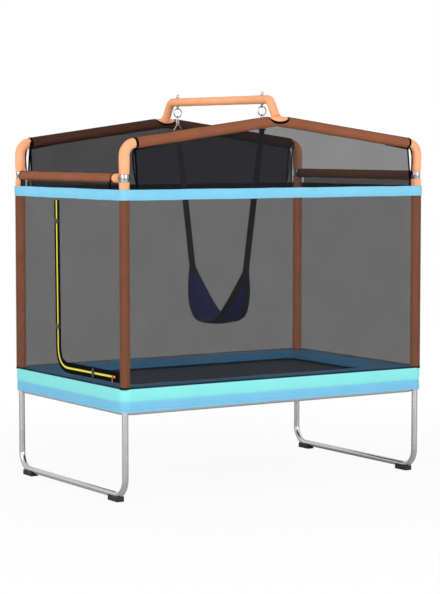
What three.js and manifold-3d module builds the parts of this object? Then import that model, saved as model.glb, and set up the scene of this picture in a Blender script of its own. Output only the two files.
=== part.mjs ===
// Rectangular garden trampoline for small children, with a safety net on four corner poles and a
// sling swing under a crossbar. Millimetres. +Z is up, X runs along the long side, and the front
// long side faces -Y. The origin is on the floor, in the middle of the footprint.
import * as THREE from "three";
import { mergeVertices } from "three/addons/utils/BufferGeometryUtils.js";
import Module from "manifold-3d";

const wasm = await Module();
wasm.setup();

// ---------------------------------------------------------------- driving dimensions

const GAP = 0.3; // between pieces that touch
const LINK_GAP = 0.6; // between links that hang in one another
const TUBE_SIDES = 10; // flats round a tube
const BEND_STEPS = 4; // rings through a tube's bend
const ARC_STEPS = 6; // chords through a quarter turn of cloth
const PAD_STEPS = 4; // chords through a quarter turn of the pad

// Corner axes, which each leg, socket and pole shares.
const CORNER_X = 903;
const CORNER_Y = 556;

// Steel tube of the legs, rails, poles, arches and end beams.
const TUBE_R = 16;
const TUBE_WALL = 1.8;

// Legs and their rubber feet.
const LEG_BEND = 90;
const LEG_BAR_Z = 31;
const LEG_TOP_Z = 495;
const FOOT_LENGTH = 95;
const FOOT_WIDTH = 42;
const FOOT_HEIGHT = 28;
const FOOT_END_Y = 508;

// Jumping frame: two rails, one above the other, with a socket at each corner.
const LOWER_RAIL_Z = 453;
const UPPER_RAIL_Z = 530;
const RAIL_BEND = 60;
const RAIL_STUB = 60;
const SPIGOT_LENGTH = 50;
const SOCKET_R = 19;
const SOCKET_BOTTOM_Z = 446;

// Jumping mat and its springs.
const MAT_HALF_X = 790;
const MAT_HALF_Y = 443;
const MAT_CORNER = 40;
const MAT_THICKNESS = 2;
const SPRING_Z = 536;
const SPRING_R = 7;
const SPRING_SIDES = 4;
const EDGE_WIRE = 4;
const LONG_SIDE_SPRINGS = 11;
const SHORT_SIDE_SPRINGS = 6;
const SPRING_END_SPACE = 90;

// Padded frame cover and the skirt round its side.
const SKIRT_HALF_X = 935;
const SKIRT_HALF_Y = 587;
const SKIRT_CORNER = 50;
const SKIRT_THICKNESS = 2.5;
const SKIRT_BOTTOM_Z = 450;
const SKIRT_TOP_Z = 565;
const PAD_TOP_Z = 571;
const PAD_WELL_HALF_X = 725;
const PAD_WELL_HALF_Y = 365;
const PAD_WELL_CORNER = 30;
const PAD_CROWN = 7;

// Corner poles with the joint collar that carries the end beam and the arch.
const COLLAR_R = 22;
const COLLAR_BOTTOM_Z = 1586;
const COLLAR_TOP_Z = 1624;
const BEAM_Z = 1604;
const BEAM_STUB_R = 13;
const BEAM_STUB_LENGTH = 55;
const POLE_FOAM_R = 26.5;
const BEND_FOAM_R = 26.5;
const BEAM_SLEEVE_R = 24.5;
const GABLE_SLEEVE_R = 27.5;
const GABLE_SLEEVE_WALL = 7.9;

// Arches: the pole line and the sloping gable line cross at the eave.
const EAVE_Z = 1768.8;
const GABLE_PITCH = THREE.MathUtils.degToRad(7.7);
const ARCH_BEND = 61;

// Crossbar that carries the swing.
const BAR_Z = 2001;
const BAR_R = 12.5;
const BAR_WALL = 1.8;
const BAR_FOAM_R = 22.5;
const BAR_BEND = 45;
const BAR_LEG_TILT = THREE.MathUtils.degToRad(32);
const SADDLE_R = 19;
const SADDLE_HALF_LENGTH = 35;

// Hanging hardware.
const HANG_Y = 417;
const BOLT_R = 4;
const EYE_R = 7.5;
const EYE_WIRE = 2.5;
const RING_R = 24;
const RING_WIRE = 3;
const HOOK_WIRE = 2.5;
const HOOK_LENGTH = 51;
const HOOK_HALF_WIDTH = 9.5;
const GATE_R = 2;
const GATE_FOOT = 2;
const GATE_HEAD = 4;
const GATE_FOOT_GAP = 1; // room for the gate to tilt on its foot
const STRAP_RING_HEIGHT = 36;
const STRAP_RING_TOP = 14;
const STRAP_RING_FOOT = 58;
const STRAP_RING_BAR = 4;
const STRAP_WIDTH = 37;
const STRAP_THICKNESS = 3;

// Sling seat, a strip of cloth that hangs in a deep curve and widens towards its bottom.
const SEAT_BOTTOM_Z = 812;
const SEAT_RISE = 288;
const SEAT_REACH = 265;
const SEAT_CURVE = 2.6;
const SEAT_HALF_WIDTH = 96;
const SEAT_END_HALF_WIDTH = 19.5;
const SEAT_TAPER = 1.35;
const SEAT_CUP = 8;
const SEAT_THICKNESS = 4;
const SEAT_ROWS = 22;
const SEAT_COLUMNS = 6;

// Net, top band, door and zip.
const NET_THICKNESS = 1.5;
const NET_BOTTOM_Z = 574;
const NET_CORNER_GAP = 0.3;
const GABLE_NET_HALF_X = 848;
const BAND_BOTTOM_Z = 1497;
const BAND_TOP_Z = 1549;
const BAND_THICKNESS = 2.5;
const DOOR_FOOT_Z = 626;
const DOOR_TIP_Y = -475;
const DOOR_SIDE_Y = 80;
const DOOR_CURVE = 110;
const DOOR_TOP_Y = 92;
const DOOR_TOP_Z = 1485;
const DOOR_SEAM = 1;
const SLIDER_REST_Y = -492;
const SLIDER_LENGTH = 18;
const SLIDER_HEIGHT = 12;
const SLIDER_THICKNESS = 3.4;
const PULL_LENGTH = 22;
const PULL_WIDTH = 5;
const PULL_THICKNESS = 1.6;

// ---------------------------------------------------------------- finishes

const finish = (color, roughness, metalness) =>
  new THREE.MeshStandardMaterial({ color, roughness, metalness });
const galvanised = finish(0xc4c7ca, 0.35, 0.9);
const chromed = finish(0xb9bec4, 0.2, 1);
const foam = finish(0xfdac78, 0.8, 0);
const sleeveCloth = finish(0x9d5e43, 0.85, 0);
const tealVinyl = finish(0x87e8e4, 0.5, 0);
const blueVinyl = finish(0x78c6e8, 0.5, 0);
const matCloth = finish(0x1d1f22, 0.8, 0);
const netCloth = finish(0x2c2c2e, 0.9, 0);
const webbing = finish(0x1e1e20, 0.85, 0);
const seatCloth = finish(0x23214b, 0.85, 0);
const rubber = finish(0x161616, 0.7, 0);
const bandCloth = finish(0x80d4f2, 0.7, 0);
const zipMetal = finish(0xe23c1e, 0.45, 0.2);

// ---------------------------------------------------------------- shaping helpers

const group = new THREE.Group();
const at = (x, y, z) => new THREE.Vector3(x, y, z);

function add(name, geometry, material, signX = 1, signY = 1) {
  const mesh = new THREE.Mesh(geometry, material);
  mesh.name = name;
  mesh.scale.set(signX, signY, 1);
  group.add(mesh);
}

function solidFrom(geometry) {
  const loose = geometry.index ? geometry.toNonIndexed() : geometry.clone();
  loose.deleteAttribute("normal");
  loose.deleteAttribute("uv");
  const merged = mergeVertices(loose, 1e-4);
  const mesh = new wasm.Mesh({
    numProp: 3,
    vertProperties: merged.attributes.position.array,
    triVerts: new Uint32Array(merged.index.array),
  });
  return new wasm.Manifold(mesh);
}

function geometryFrom(solid) {
  const mesh = solid.getMesh();
  return new THREE.BufferGeometry()
    .setAttribute("position", new THREE.BufferAttribute(mesh.vertProperties, 3))
    .setIndex(new THREE.BufferAttribute(mesh.triVerts, 1));
}

const join = (...parts) =>
  geometryFrom(parts.map(solidFrom).reduce((whole, part) => whole.add(part)));

const cut = (base, ...tools) =>
  geometryFrom(tools.map(solidFrom).reduce((whole, tool) => whole.subtract(tool), solidFrom(base)));

// A radius whose polygon's flats, rather than its corners, lie on the circle.
const bore = (radius, sides = TUBE_SIDES) => radius / Math.cos(Math.PI / sides);

const circle = (radius, sides = TUBE_SIDES) =>
  Array.from({ length: sides }, (_, i) => {
    const angle = (2 * Math.PI * (i + 0.5)) / sides;
    return new THREE.Vector2(radius * Math.cos(angle), radius * Math.sin(angle));
  });

function tubeSection(outer, inner = 0) {
  const shape = new THREE.Shape(circle(outer));
  if (inner) shape.holes.push(new THREE.Path(circle(inner)));
  return shape;
}

// A path with a ring of the swept section at each of its points.
class Route extends THREE.Curve {
  constructor(points) {
    super();
    this.points = points;
  }
  index(t) {
    return Math.round(t * (this.points.length - 1));
  }
  getPoint(t) {
    return this.points[this.index(t)].clone();
  }
  getPointAt(t) {
    return this.getPoint(t);
  }
  getTangentAt(t) {
    const i = this.index(t);
    const last = this.points.length - 1;
    const before = this.points[i].clone().sub(this.points[Math.max(i - 1, 0)]).normalize();
    const after = this.points[Math.min(i + 1, last)].clone().sub(this.points[i]).normalize();
    return before.add(after).normalize();
  }
}

const sweep = (section, points) =>
  new THREE.ExtrudeGeometry(section, {
    steps: points.length - 1,
    extrudePath: new Route(points),
  });

// The corner points joined by straight runs, with a bend of one radius at each inner corner.
function bentRoute(corners, radius) {
  const points = [corners[0]];
  for (let i = 1; i < corners.length - 1; i++) {
    const back = corners[i - 1].clone().sub(corners[i]).normalize();
    const on = corners[i + 1].clone().sub(corners[i]).normalize();
    const half = back.angleTo(on) / 2;
    const centre = back.clone().add(on).setLength(radius / Math.sin(half)).add(corners[i]);
    const start = back.clone().multiplyScalar(radius / Math.tan(half)).add(corners[i]).sub(centre);
    const axis = back.clone().cross(on).negate().normalize();
    for (let k = 0; k <= BEND_STEPS; k++) {
      const turn = ((Math.PI - 2 * half) * k) / BEND_STEPS;
      points.push(start.clone().applyAxisAngle(axis, turn).add(centre));
    }
  }
  points.push(corners.at(-1));
  return points;
}

// A closed profile of [radius, height] pairs, turned about the Z axis.
function turned(profile, sides = TUBE_SIDES) {
  const points = [...profile, profile[0]].map(([r, z]) => new THREE.Vector2(r, z));
  return new THREE.LatheGeometry(points, sides).rotateX(Math.PI / 2);
}

const rod = (radius, low, high, sides = TUBE_SIDES) =>
  new THREE.CylinderGeometry(radius, radius, high - low, sides)
    .rotateX(Math.PI / 2)
    .translate(0, 0, (low + high) / 2);

const box = (low, high) =>
  new THREE.BoxGeometry(...high.clone().sub(low).toArray()).translate(
    ...low.clone().add(high).multiplyScalar(0.5).toArray(),
  );

const alongY = (geometry) => geometry.rotateX(-Math.PI / 2);
const alongX = (geometry) => geometry.rotateY(Math.PI / 2);

function roundedRectangle(halfX, halfY, corner, Kind = THREE.Shape) {
  const path = new Kind();
  const innerX = halfX - corner;
  const innerY = halfY - corner;
  path.absarc(innerX, innerY, corner, 0, Math.PI / 2);
  path.absarc(-innerX, innerY, corner, Math.PI / 2, Math.PI);
  path.absarc(-innerX, -innerY, corner, Math.PI, 1.5 * Math.PI);
  path.absarc(innerX, -innerY, corner, 1.5 * Math.PI, 2 * Math.PI);
  path.closePath();
  return path;
}

function ringShape(halfX, halfY, corner, wall) {
  const shape = roundedRectangle(halfX, halfY, corner);
  shape.holes.push(roundedRectangle(halfX - wall, halfY - wall, corner - wall, THREE.Path));
  return shape;
}

const upright = (shape, low, high, curveSegments = ARC_STEPS) =>
  new THREE.ExtrudeGeometry(shape, {
    depth: high - low,
    bevelEnabled: false,
    curveSegments,
  }).translate(0, 0, low);

// A shape drawn in X and Z, given its thickness along Y from low to high.
const facingY = (shape, low, high) =>
  upright(shape, 0, high - low).rotateX(Math.PI / 2).translate(0, high, 0);

// A shape drawn in Y and Z, given its thickness along X from low to high.
function facingX(shape, low, high) {
  const axes = new THREE.Matrix4().makeBasis(at(0, 1, 0), at(0, 0, 1), at(1, 0, 0));
  return upright(shape, 0, high - low).applyMatrix4(axes).translate(low, 0, 0);
}

const polygon = (pairs) => new THREE.Shape(pairs.map(([a, b]) => new THREE.Vector2(a, b)));

// A counter-clockwise convex outline, drawn in by one distance on every edge.
function inset(pairs, distance) {
  const edge = (i) => {
    const [ax, ay] = pairs[i];
    const [bx, by] = pairs[(i + 1) % pairs.length];
    const length = Math.hypot(bx - ax, by - ay);
    return { x: -(by - ay) / length, y: (bx - ax) / length, ax, ay };
  };
  return pairs.map((_, i) => {
    const p = edge((i + pairs.length - 1) % pairs.length);
    const q = edge(i);
    const c = p.x * p.ax + p.y * p.ay + distance;
    const d = q.x * q.ax + q.y * q.ay + distance;
    const det = p.x * q.y - p.y * q.x;
    return [(c * q.y - d * p.y) / det, (p.x * d - q.x * c) / det];
  });
}

const ENDS = [
  ["left", -1],
  ["right", 1],
];
const SIDES = [
  ["front", -1],
  ["rear", 1],
];

// ---------------------------------------------------------------- legs and feet

const legRoute = bentRoute(
  [
    at(CORNER_X, -CORNER_Y, LEG_TOP_Z),
    at(CORNER_X, -CORNER_Y, LEG_BAR_Z),
    at(CORNER_X, CORNER_Y, LEG_BAR_Z),
    at(CORNER_X, CORNER_Y, LEG_TOP_Z),
  ],
  LEG_BEND,
);
const leg = sweep(tubeSection(TUBE_R, TUBE_R - TUBE_WALL), legRoute);
const legGroove = sweep(tubeSection(TUBE_R + GAP), legRoute);
const foot = cut(
  box(
    at(CORNER_X - FOOT_WIDTH / 2, FOOT_END_Y - FOOT_LENGTH, 0),
    at(CORNER_X + FOOT_WIDTH / 2, FOOT_END_Y, FOOT_HEIGHT),
  ),
  legGroove,
);
for (const [end, signX] of ENDS) {
  add(`leg_${end}`, leg, galvanised, signX);
  for (const [side, signY] of SIDES) add(`foot_${end}_${side}`, foot, rubber, signX, signY);
}

// ---------------------------------------------------------------- jumping frame

const stubEndX = CORNER_X - RAIL_BEND - RAIL_STUB;
const socketTopZ = UPPER_RAIL_Z + TUBE_R;

function endRail(z) {
  const corners = [
    at(stubEndX, -CORNER_Y, z),
    at(CORNER_X, -CORNER_Y, z),
    at(CORNER_X, CORNER_Y, z),
    at(stubEndX, CORNER_Y, z),
  ];
  return sweep(tubeSection(TUBE_R, bore(TUBE_R - TUBE_WALL)), bentRoute(corners, RAIL_BEND));
}

function cornerPin(radius, low, high) {
  return [-CORNER_Y, CORNER_Y].map((y) => rod(radius, low, high).translate(CORNER_X, y, 0));
}

const frameEnd = cut(
  join(
    endRail(LOWER_RAIL_Z),
    endRail(UPPER_RAIL_Z),
    ...cornerPin(SOCKET_R, SOCKET_BOTTOM_Z, socketTopZ),
  ),
  ...cornerPin(bore(TUBE_R + GAP), SOCKET_BOTTOM_Z - 20, socketTopZ + 1),
);

// A long rail's swaged ends slide into the end frames' stubs.
function longRail(z) {
  const half = stubEndX - GAP;
  const spigotR = TUBE_R - TUBE_WALL - GAP;
  const boreR = spigotR - TUBE_WALL;
  const tip = half + SPIGOT_LENGTH;
  const profile = [
    [boreR, -tip],
    [spigotR, -tip],
    [spigotR, -half],
    [TUBE_R, -half],
    [TUBE_R, half],
    [spigotR, half],
    [spigotR, tip],
    [boreR, tip],
  ];
  return alongX(turned(profile)).translate(0, CORNER_Y, z);
}

for (const [end, signX] of ENDS) add(`frame_end_${end}`, frameEnd, galvanised, signX);
for (const [side, signY] of SIDES) {
  add(`lower_rail_${side}`, longRail(LOWER_RAIL_Z), galvanised, 1, signY);
  add(`upper_rail_${side}`, longRail(UPPER_RAIL_Z), galvanised, 1, signY);
}

// ---------------------------------------------------------------- mat and springs

add(
  "jumping_mat",
  upright(
    roundedRectangle(MAT_HALF_X, MAT_HALF_Y, MAT_CORNER),
    SPRING_Z - MAT_THICKNESS / 2,
    SPRING_Z + MAT_THICKNESS / 2,
  ),
  matCloth,
);

// Springs run from the wire in the mat's edge to the upper rail.
function springRow(count, halfLength, from, to) {
  const usable = halfLength - SPRING_END_SPACE;
  return Array.from({ length: count }, (_, i) =>
    alongY(rod(SPRING_R, from, to, SPRING_SIDES)).translate(
      -usable + (2 * usable * i) / (count - 1),
      0,
      SPRING_Z,
    ),
  );
}

const wireX = MAT_HALF_X + GAP + EDGE_WIRE;
const wireY = MAT_HALF_Y + GAP + EDGE_WIRE;
const edgeWire = upright(
  ringShape(wireX, wireY, MAT_CORNER + GAP + EDGE_WIRE, EDGE_WIRE),
  SPRING_Z - EDGE_WIRE / 2,
  SPRING_Z + EDGE_WIRE / 2,
);
const springReach = EDGE_WIRE / 4;
const longSprings = springRow(
  LONG_SIDE_SPRINGS,
  MAT_HALF_X,
  wireY - springReach,
  CORNER_Y - TUBE_R - GAP,
);
const shortSprings = springRow(
  SHORT_SIDE_SPRINGS,
  MAT_HALF_Y,
  wireX - springReach,
  CORNER_X - TUBE_R - GAP,
);
add(
  "springs",
  join(
    edgeWire,
    ...longSprings,
    ...longSprings.map((spring) => spring.clone().rotateZ(Math.PI)),
    ...shortSprings.map((spring) => spring.clone().rotateZ(Math.PI / 2)),
    ...shortSprings.map((spring) => spring.clone().rotateZ(-Math.PI / 2)),
  ),
  chromed,
);

// ---------------------------------------------------------------- padded cover and skirt

const padBottomZ = UPPER_RAIL_Z + TUBE_R + GAP;
const padHalfX = SKIRT_HALF_X - SKIRT_THICKNESS - GAP;
const padHalfY = SKIRT_HALF_Y - SKIRT_THICKNESS - GAP;
const padShape = roundedRectangle(padHalfX, padHalfY, SKIRT_CORNER - SKIRT_THICKNESS - GAP);
padShape.holes.push(
  roundedRectangle(PAD_WELL_HALF_X, PAD_WELL_HALF_Y, PAD_WELL_CORNER, THREE.Path),
);
const padBlock = new THREE.ExtrudeGeometry(padShape, {
  depth: PAD_TOP_Z - padBottomZ - 2 * PAD_CROWN,
  bevelThickness: PAD_CROWN,
  bevelSize: PAD_CROWN,
  bevelOffset: -PAD_CROWN,
  bevelSegments: 2,
  curveSegments: PAD_STEPS,
}).translate(0, 0, padBottomZ + PAD_CROWN);
const poleHoles = [-CORNER_X, CORNER_X].flatMap((x) =>
  [-CORNER_Y, CORNER_Y].map((y) =>
    rod(bore(TUBE_R + 1), padBottomZ - 1, PAD_TOP_Z + 1).translate(x, y, 0),
  ),
);
add("frame_pad", cut(padBlock, ...poleHoles), blueVinyl);
add(
  "pad_skirt",
  upright(
    ringShape(SKIRT_HALF_X, SKIRT_HALF_Y, SKIRT_CORNER, SKIRT_THICKNESS),
    SKIRT_BOTTOM_Z,
    SKIRT_TOP_Z,
  ),
  tealVinyl,
);

// ---------------------------------------------------------------- corner poles and end beams

const poleFootZ = LEG_TOP_Z + GAP;
const poleTopZ = BEAM_Z - 2;
const poleBore = TUBE_R - TUBE_WALL;
const poleTube = turned([
  [poleBore, poleFootZ],
  [TUBE_R, poleFootZ],
  [TUBE_R, COLLAR_BOTTOM_Z],
  [COLLAR_R, COLLAR_BOTTOM_Z],
  [COLLAR_R, COLLAR_TOP_Z],
  [bore(TUBE_R + GAP), COLLAR_TOP_Z],
  [bore(TUBE_R + GAP), poleTopZ],
  [poleBore, poleTopZ],
]);
const beamStub = alongY(
  rod(BEAM_STUB_R, TUBE_R + GAP + 1, COLLAR_R + BEAM_STUB_LENGTH),
)
  .rotateZ(Math.PI)
  .translate(0, 0, BEAM_Z);
const cornerPole = join(poleTube, beamStub).translate(CORNER_X, CORNER_Y, 0);
const poleFoam = turned([
  [TUBE_R + GAP, PAD_TOP_Z + GAP],
  [POLE_FOAM_R, PAD_TOP_Z + GAP],
  [POLE_FOAM_R, COLLAR_BOTTOM_Z - GAP],
  [TUBE_R + GAP, COLLAR_BOTTOM_Z - GAP],
]).translate(CORNER_X, CORNER_Y, 0);

function beamPiece(outer, inner, half) {
  const profile = [
    [inner, -half],
    [outer, -half],
    [outer, half],
    [inner, half],
  ];
  return alongY(turned(profile)).translate(CORNER_X, 0, BEAM_Z);
}

const endBeam = beamPiece(TUBE_R, BEAM_STUB_R + GAP, CORNER_Y - COLLAR_R - GAP);
const beamSleeve = beamPiece(BEAM_SLEEVE_R, TUBE_R + GAP, CORNER_Y - BEND_FOAM_R - GAP);

// ---------------------------------------------------------------- arches and their covers

const peakZ = EAVE_Z + CORNER_X * Math.tan(GABLE_PITCH);
const gableZ = (x) => EAVE_Z + (CORNER_X - Math.abs(x)) * Math.tan(GABLE_PITCH);
const eaveReach = ARCH_BEND * Math.tan((Math.PI / 2 - GABLE_PITCH) / 2);
// A point on the gable's axis, measured from the eave towards the peak.
const onGable = (run) => {
  const x = CORNER_X - run * Math.cos(GABLE_PITCH);
  return at(x, CORNER_Y, gableZ(x));
};
const bendEnd = eaveReach + 2;
// The two arches of one side meet at the peak, corner to corner of their slanting ends.
const archEndX = TUBE_R * Math.sin(GABLE_PITCH) + GAP;
const archTube = sweep(
  tubeSection(TUBE_R, TUBE_R - TUBE_WALL),
  bentRoute(
    [
      at(CORNER_X, CORNER_Y, poleTopZ + GAP),
      at(CORNER_X, CORNER_Y, EAVE_Z),
      at(archEndX, CORNER_Y, gableZ(archEndX)),
    ],
    ARCH_BEND,
  ),
);
const bendFoam = sweep(
  tubeSection(BEND_FOAM_R, TUBE_R + GAP),
  bentRoute(
    [at(CORNER_X, CORNER_Y, COLLAR_TOP_Z + GAP), at(CORNER_X, CORNER_Y, EAVE_Z), onGable(bendEnd)],
    ARCH_BEND,
  ),
);

for (const [end, signX] of ENDS) {
  for (const [side, signY] of SIDES) {
    const corner = `${end}_${side}`;
    add(`corner_pole_${corner}`, cornerPole, galvanised, signX, signY);
    add(`pole_foam_${corner}`, poleFoam, sleeveCloth, signX, signY);
    add(`arch_tube_${corner}`, archTube, galvanised, signX, signY);
    add(`bend_foam_${corner}`, bendFoam, foam, signX, signY);
  }
  add(`end_beam_${end}`, endBeam, galvanised, signX);
  add(`beam_sleeve_${end}`, beamSleeve, sleeveCloth, signX);
}

// ---------------------------------------------------------------- crossbar and gable sleeves

const barCornerY = CORNER_Y - (BAR_Z - peakZ) * Math.tan(BAR_LEG_TILT);
// A point on the crossbar's rear leg, measured up from the gable's axis.
const onBarLeg = (run) =>
  at(0, CORNER_Y - run * Math.sin(BAR_LEG_TILT), peakZ + run * Math.cos(BAR_LEG_TILT));
const flipY = (point) => at(point.x, -point.y, point.z);

function barRoute(startRun) {
  const rear = [onBarLeg(startRun), at(0, barCornerY, BAR_Z)];
  return bentRoute([...rear, ...rear.map(flipY).reverse()], BAR_BEND);
}

function peakPiece(section, halfLength) {
  const end = at(halfLength, CORNER_Y, gableZ(halfLength));
  const points = [end, at(0, CORNER_Y, peakZ), at(-end.x, end.y, end.z)];
  return [points, points.map(flipY)].map((route) => sweep(section, route));
}

const boltHoles = [-HANG_Y, HANG_Y].map((y) =>
  rod(bore(BOLT_R + GAP), BAR_Z - BAR_FOAM_R - 1, BAR_Z + BAR_FOAM_R + 1).translate(0, y, 0),
);
const saddleWallMiddle = (TUBE_R + SADDLE_R) / 2;
add(
  "crossbar",
  cut(
    join(
      sweep(tubeSection(BAR_R, BAR_R - BAR_WALL), barRoute(saddleWallMiddle)),
      ...peakPiece(tubeSection(SADDLE_R), SADDLE_HALF_LENGTH),
    ),
    ...peakPiece(tubeSection(TUBE_R + GAP), SADDLE_HALF_LENGTH + 20),
    ...boltHoles,
  ),
  galvanised,
);
add(
  "crossbar_foam",
  cut(
    sweep(tubeSection(BAR_FOAM_R, BAR_R + GAP), barRoute(SADDLE_R + 1)),
    ...boltHoles,
  ),
  foam,
);

// Each sleeve is open at the peak, where the crossbar's padded leg comes out.
const sleeveEnd = onGable(bendEnd + GAP);
const sleeveMouth = sweep(tubeSection(bore(BAR_FOAM_R + 1)), [
  onBarLeg(SADDLE_R - 4),
  onBarLeg(3 * GABLE_SLEEVE_R),
]);
const gableSleeve = cut(
  sweep(tubeSection(GABLE_SLEEVE_R, GABLE_SLEEVE_R - GABLE_SLEEVE_WALL), [
    sleeveEnd,
    at(0, CORNER_Y, peakZ),
    at(-sleeveEnd.x, sleeveEnd.y, sleeveEnd.z),
  ]),
  sleeveMouth,
);
for (const [side, signY] of SIDES) {
  add(`gable_sleeve_${side}`, gableSleeve, sleeveCloth, 1, signY);
}

// ---------------------------------------------------------------- hanging hardware

const lowerEyeZ = BAR_Z - BAR_FOAM_R - GAP - EYE_R - EYE_WIRE;
const upperEyeZ = BAR_Z + BAR_FOAM_R + GAP + EYE_R + EYE_WIRE;
const swingPivotZ = lowerEyeZ - EYE_R;
const ringZ = swingPivotZ + EYE_WIRE + LINK_GAP + RING_WIRE - RING_R;
const hookTopZ = ringZ - RING_R + RING_WIRE + LINK_GAP + HOOK_WIRE;
const hookBottomZ = hookTopZ - HOOK_LENGTH;
const strapRingTopZ = hookBottomZ + HOOK_WIRE + LINK_GAP + STRAP_RING_BAR;
const strapBarZ = strapRingTopZ - STRAP_RING_HEIGHT + STRAP_RING_BAR / 2;

const wireLoop = (radius, wire, steps) => new THREE.TorusGeometry(radius, wire, 6, steps);
const eyeBolt = join(
  rod(BOLT_R, lowerEyeZ + EYE_R, upperEyeZ - EYE_R),
  wireLoop(EYE_R, EYE_WIRE, 12).rotateY(Math.PI / 2).translate(0, 0, lowerEyeZ),
  wireLoop(EYE_R, EYE_WIRE, 12).rotateX(Math.PI / 2).translate(0, 0, upperEyeZ),
).translate(0, HANG_Y, 0);
const swingRing = wireLoop(RING_R, RING_WIRE, 20)
  .rotateX(Math.PI / 2)
  .translate(0, HANG_Y, ringZ);

// The snap hook is a long loop of wire, open where its sprung gate stands.
const gateY = HANG_Y - HOOK_HALF_WIDTH;
const hookBackY = HANG_Y + HOOK_HALF_WIDTH;
const gateFootZ = hookBottomZ + HOOK_HALF_WIDTH + GATE_FOOT;
const gateHeadZ = hookTopZ - HOOK_HALF_WIDTH - GATE_HEAD;
const snapHook = sweep(
  new THREE.Shape(circle(HOOK_WIRE, 8)),
  bentRoute(
    [
      at(0, gateY, gateFootZ),
      at(0, gateY, hookBottomZ),
      at(0, hookBackY, hookBottomZ),
      at(0, hookBackY, hookTopZ),
      at(0, gateY, hookTopZ),
      at(0, gateY, gateHeadZ),
    ],
    HOOK_HALF_WIDTH - 0.1,
  ),
);
const hookGate = rod(GATE_R, gateFootZ + GATE_FOOT_GAP, gateHeadZ - GAP, 8).translate(0, gateY, 0);

const strapRingOutline = [
  [-STRAP_RING_FOOT / 2, strapRingTopZ - STRAP_RING_HEIGHT],
  [STRAP_RING_FOOT / 2, strapRingTopZ - STRAP_RING_HEIGHT],
  [STRAP_RING_TOP / 2, strapRingTopZ],
  [-STRAP_RING_TOP / 2, strapRingTopZ],
];
const strapRingShape = polygon(strapRingOutline);
strapRingShape.holes.push(polygon(inset(strapRingOutline, STRAP_RING_BAR)));
const strapRing = facingY(
  strapRingShape,
  HANG_Y - STRAP_RING_BAR / 2,
  HANG_Y + STRAP_RING_BAR / 2,
);

// The strap's sewn loop goes round the ring's bar, and its tail runs down to the seat's end.
const loopInner = (STRAP_RING_BAR / 2) * Math.SQRT2 + LINK_GAP;
const loopOuter = loopInner + STRAP_THICKNESS;
const strapWall = loopOuter - STRAP_THICKNESS / 2;
const seatEnd = at(0, SEAT_REACH, SEAT_BOTTOM_Z + SEAT_RISE);
const strapTop = at(0, HANG_Y, strapBarZ);
const strapRun = strapTop.clone().sub(seatEnd).normalize();
const strapLoop = alongX(
  turned([
    [bore(loopInner), -STRAP_WIDTH / 2],
    [loopOuter, -STRAP_WIDTH / 2],
    [loopOuter, STRAP_WIDTH / 2],
    [bore(loopInner), STRAP_WIDTH / 2],
  ]),
).translate(0, HANG_Y, strapBarZ);
const strapTail = sweep(
  polygon([
    [-STRAP_WIDTH / 2, -STRAP_THICKNESS / 2],
    [STRAP_WIDTH / 2, -STRAP_THICKNESS / 2],
    [STRAP_WIDTH / 2, STRAP_THICKNESS / 2],
    [-STRAP_WIDTH / 2, STRAP_THICKNESS / 2],
  ]),
  [
    strapTop.clone().addScaledVector(strapRun, -strapWall),
    seatEnd.clone().addScaledVector(strapRun, 2 * GAP),
  ],
);
const swingStrap = join(strapLoop, strapTail);

for (const [side, signY] of SIDES) {
  add(`eye_bolt_${side}`, eyeBolt, chromed, 1, signY);
  add(`swing_ring_${side}`, swingRing, chromed, 1, signY);
  add(`snap_hook_${side}`, snapHook, chromed, 1, signY);
  add(`hook_gate_${side}`, hookGate, chromed, 1, signY);
  add(`strap_ring_${side}`, strapRing, chromed, 1, signY);
  add(`swing_strap_${side}`, swingStrap, webbing, 1, signY);
}

// ---------------------------------------------------------------- sling seat

// A point of the seat: along runs from the front end, -1, to the rear end, 1, across from one
// side edge, -1, to the other, 1, and face is -1 on the outside and 1 on the inside.
function seatPoint(along, across, face) {
  const y = SEAT_REACH * Math.sin((along * Math.PI) / 2);
  const share = Math.abs(y / SEAT_REACH);
  const rise = share ** SEAT_CURVE;
  const slope =
    (Math.sign(y) * SEAT_RISE * SEAT_CURVE * share ** (SEAT_CURVE - 1)) / SEAT_REACH;
  const halfWidth =
    SEAT_HALF_WIDTH - (SEAT_HALF_WIDTH - SEAT_END_HALF_WIDTH) * rise ** SEAT_TAPER;
  const inward = new THREE.Vector2(-slope, 1).normalize();
  const cup = SEAT_CUP * (1 - across * across) * (1 - rise);
  const shift = (face * SEAT_THICKNESS) / 2 - cup;
  return at(
    halfWidth * across,
    y + inward.x * shift,
    SEAT_BOTTOM_Z + SEAT_CUP + SEAT_RISE * rise - SEAT_CUP * rise + inward.y * shift,
  );
}

function closedSheet(rows, columns, pointAt) {
  const corner = (i, j, face) => pointAt((2 * i) / rows - 1, (2 * j) / columns - 1, face);
  const positions = [];
  const quad = (a, b, c, d) => {
    for (const point of [a, b, c, a, c, d]) positions.push(...point.toArray());
  };
  for (let i = 0; i < rows; i++) {
    for (let j = 0; j < columns; j++) {
      for (const face of [-1, 1]) {
        const four = [
          corner(i, j, face),
          corner(i, j + 1, face),
          corner(i + 1, j + 1, face),
          corner(i + 1, j, face),
        ];
        quad(...(face > 0 ? four : four.reverse()));
      }
    }
    quad(corner(i, 0, 1), corner(i + 1, 0, 1), corner(i + 1, 0, -1), corner(i, 0, -1));
    const j = columns;
    quad(corner(i, j, -1), corner(i + 1, j, -1), corner(i + 1, j, 1), corner(i, j, 1));
  }
  for (let j = 0; j < columns; j++) {
    quad(corner(0, j, -1), corner(0, j + 1, -1), corner(0, j + 1, 1), corner(0, j, 1));
    const i = rows;
    quad(corner(i, j, 1), corner(i, j + 1, 1), corner(i, j + 1, -1), corner(i, j, -1));
  }
  return new THREE.BufferGeometry().setAttribute(
    "position",
    new THREE.Float32BufferAttribute(positions, 3),
  );
}

add("swing_seat", closedSheet(SEAT_ROWS, SEAT_COLUMNS, seatPoint), seatCloth);

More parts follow.
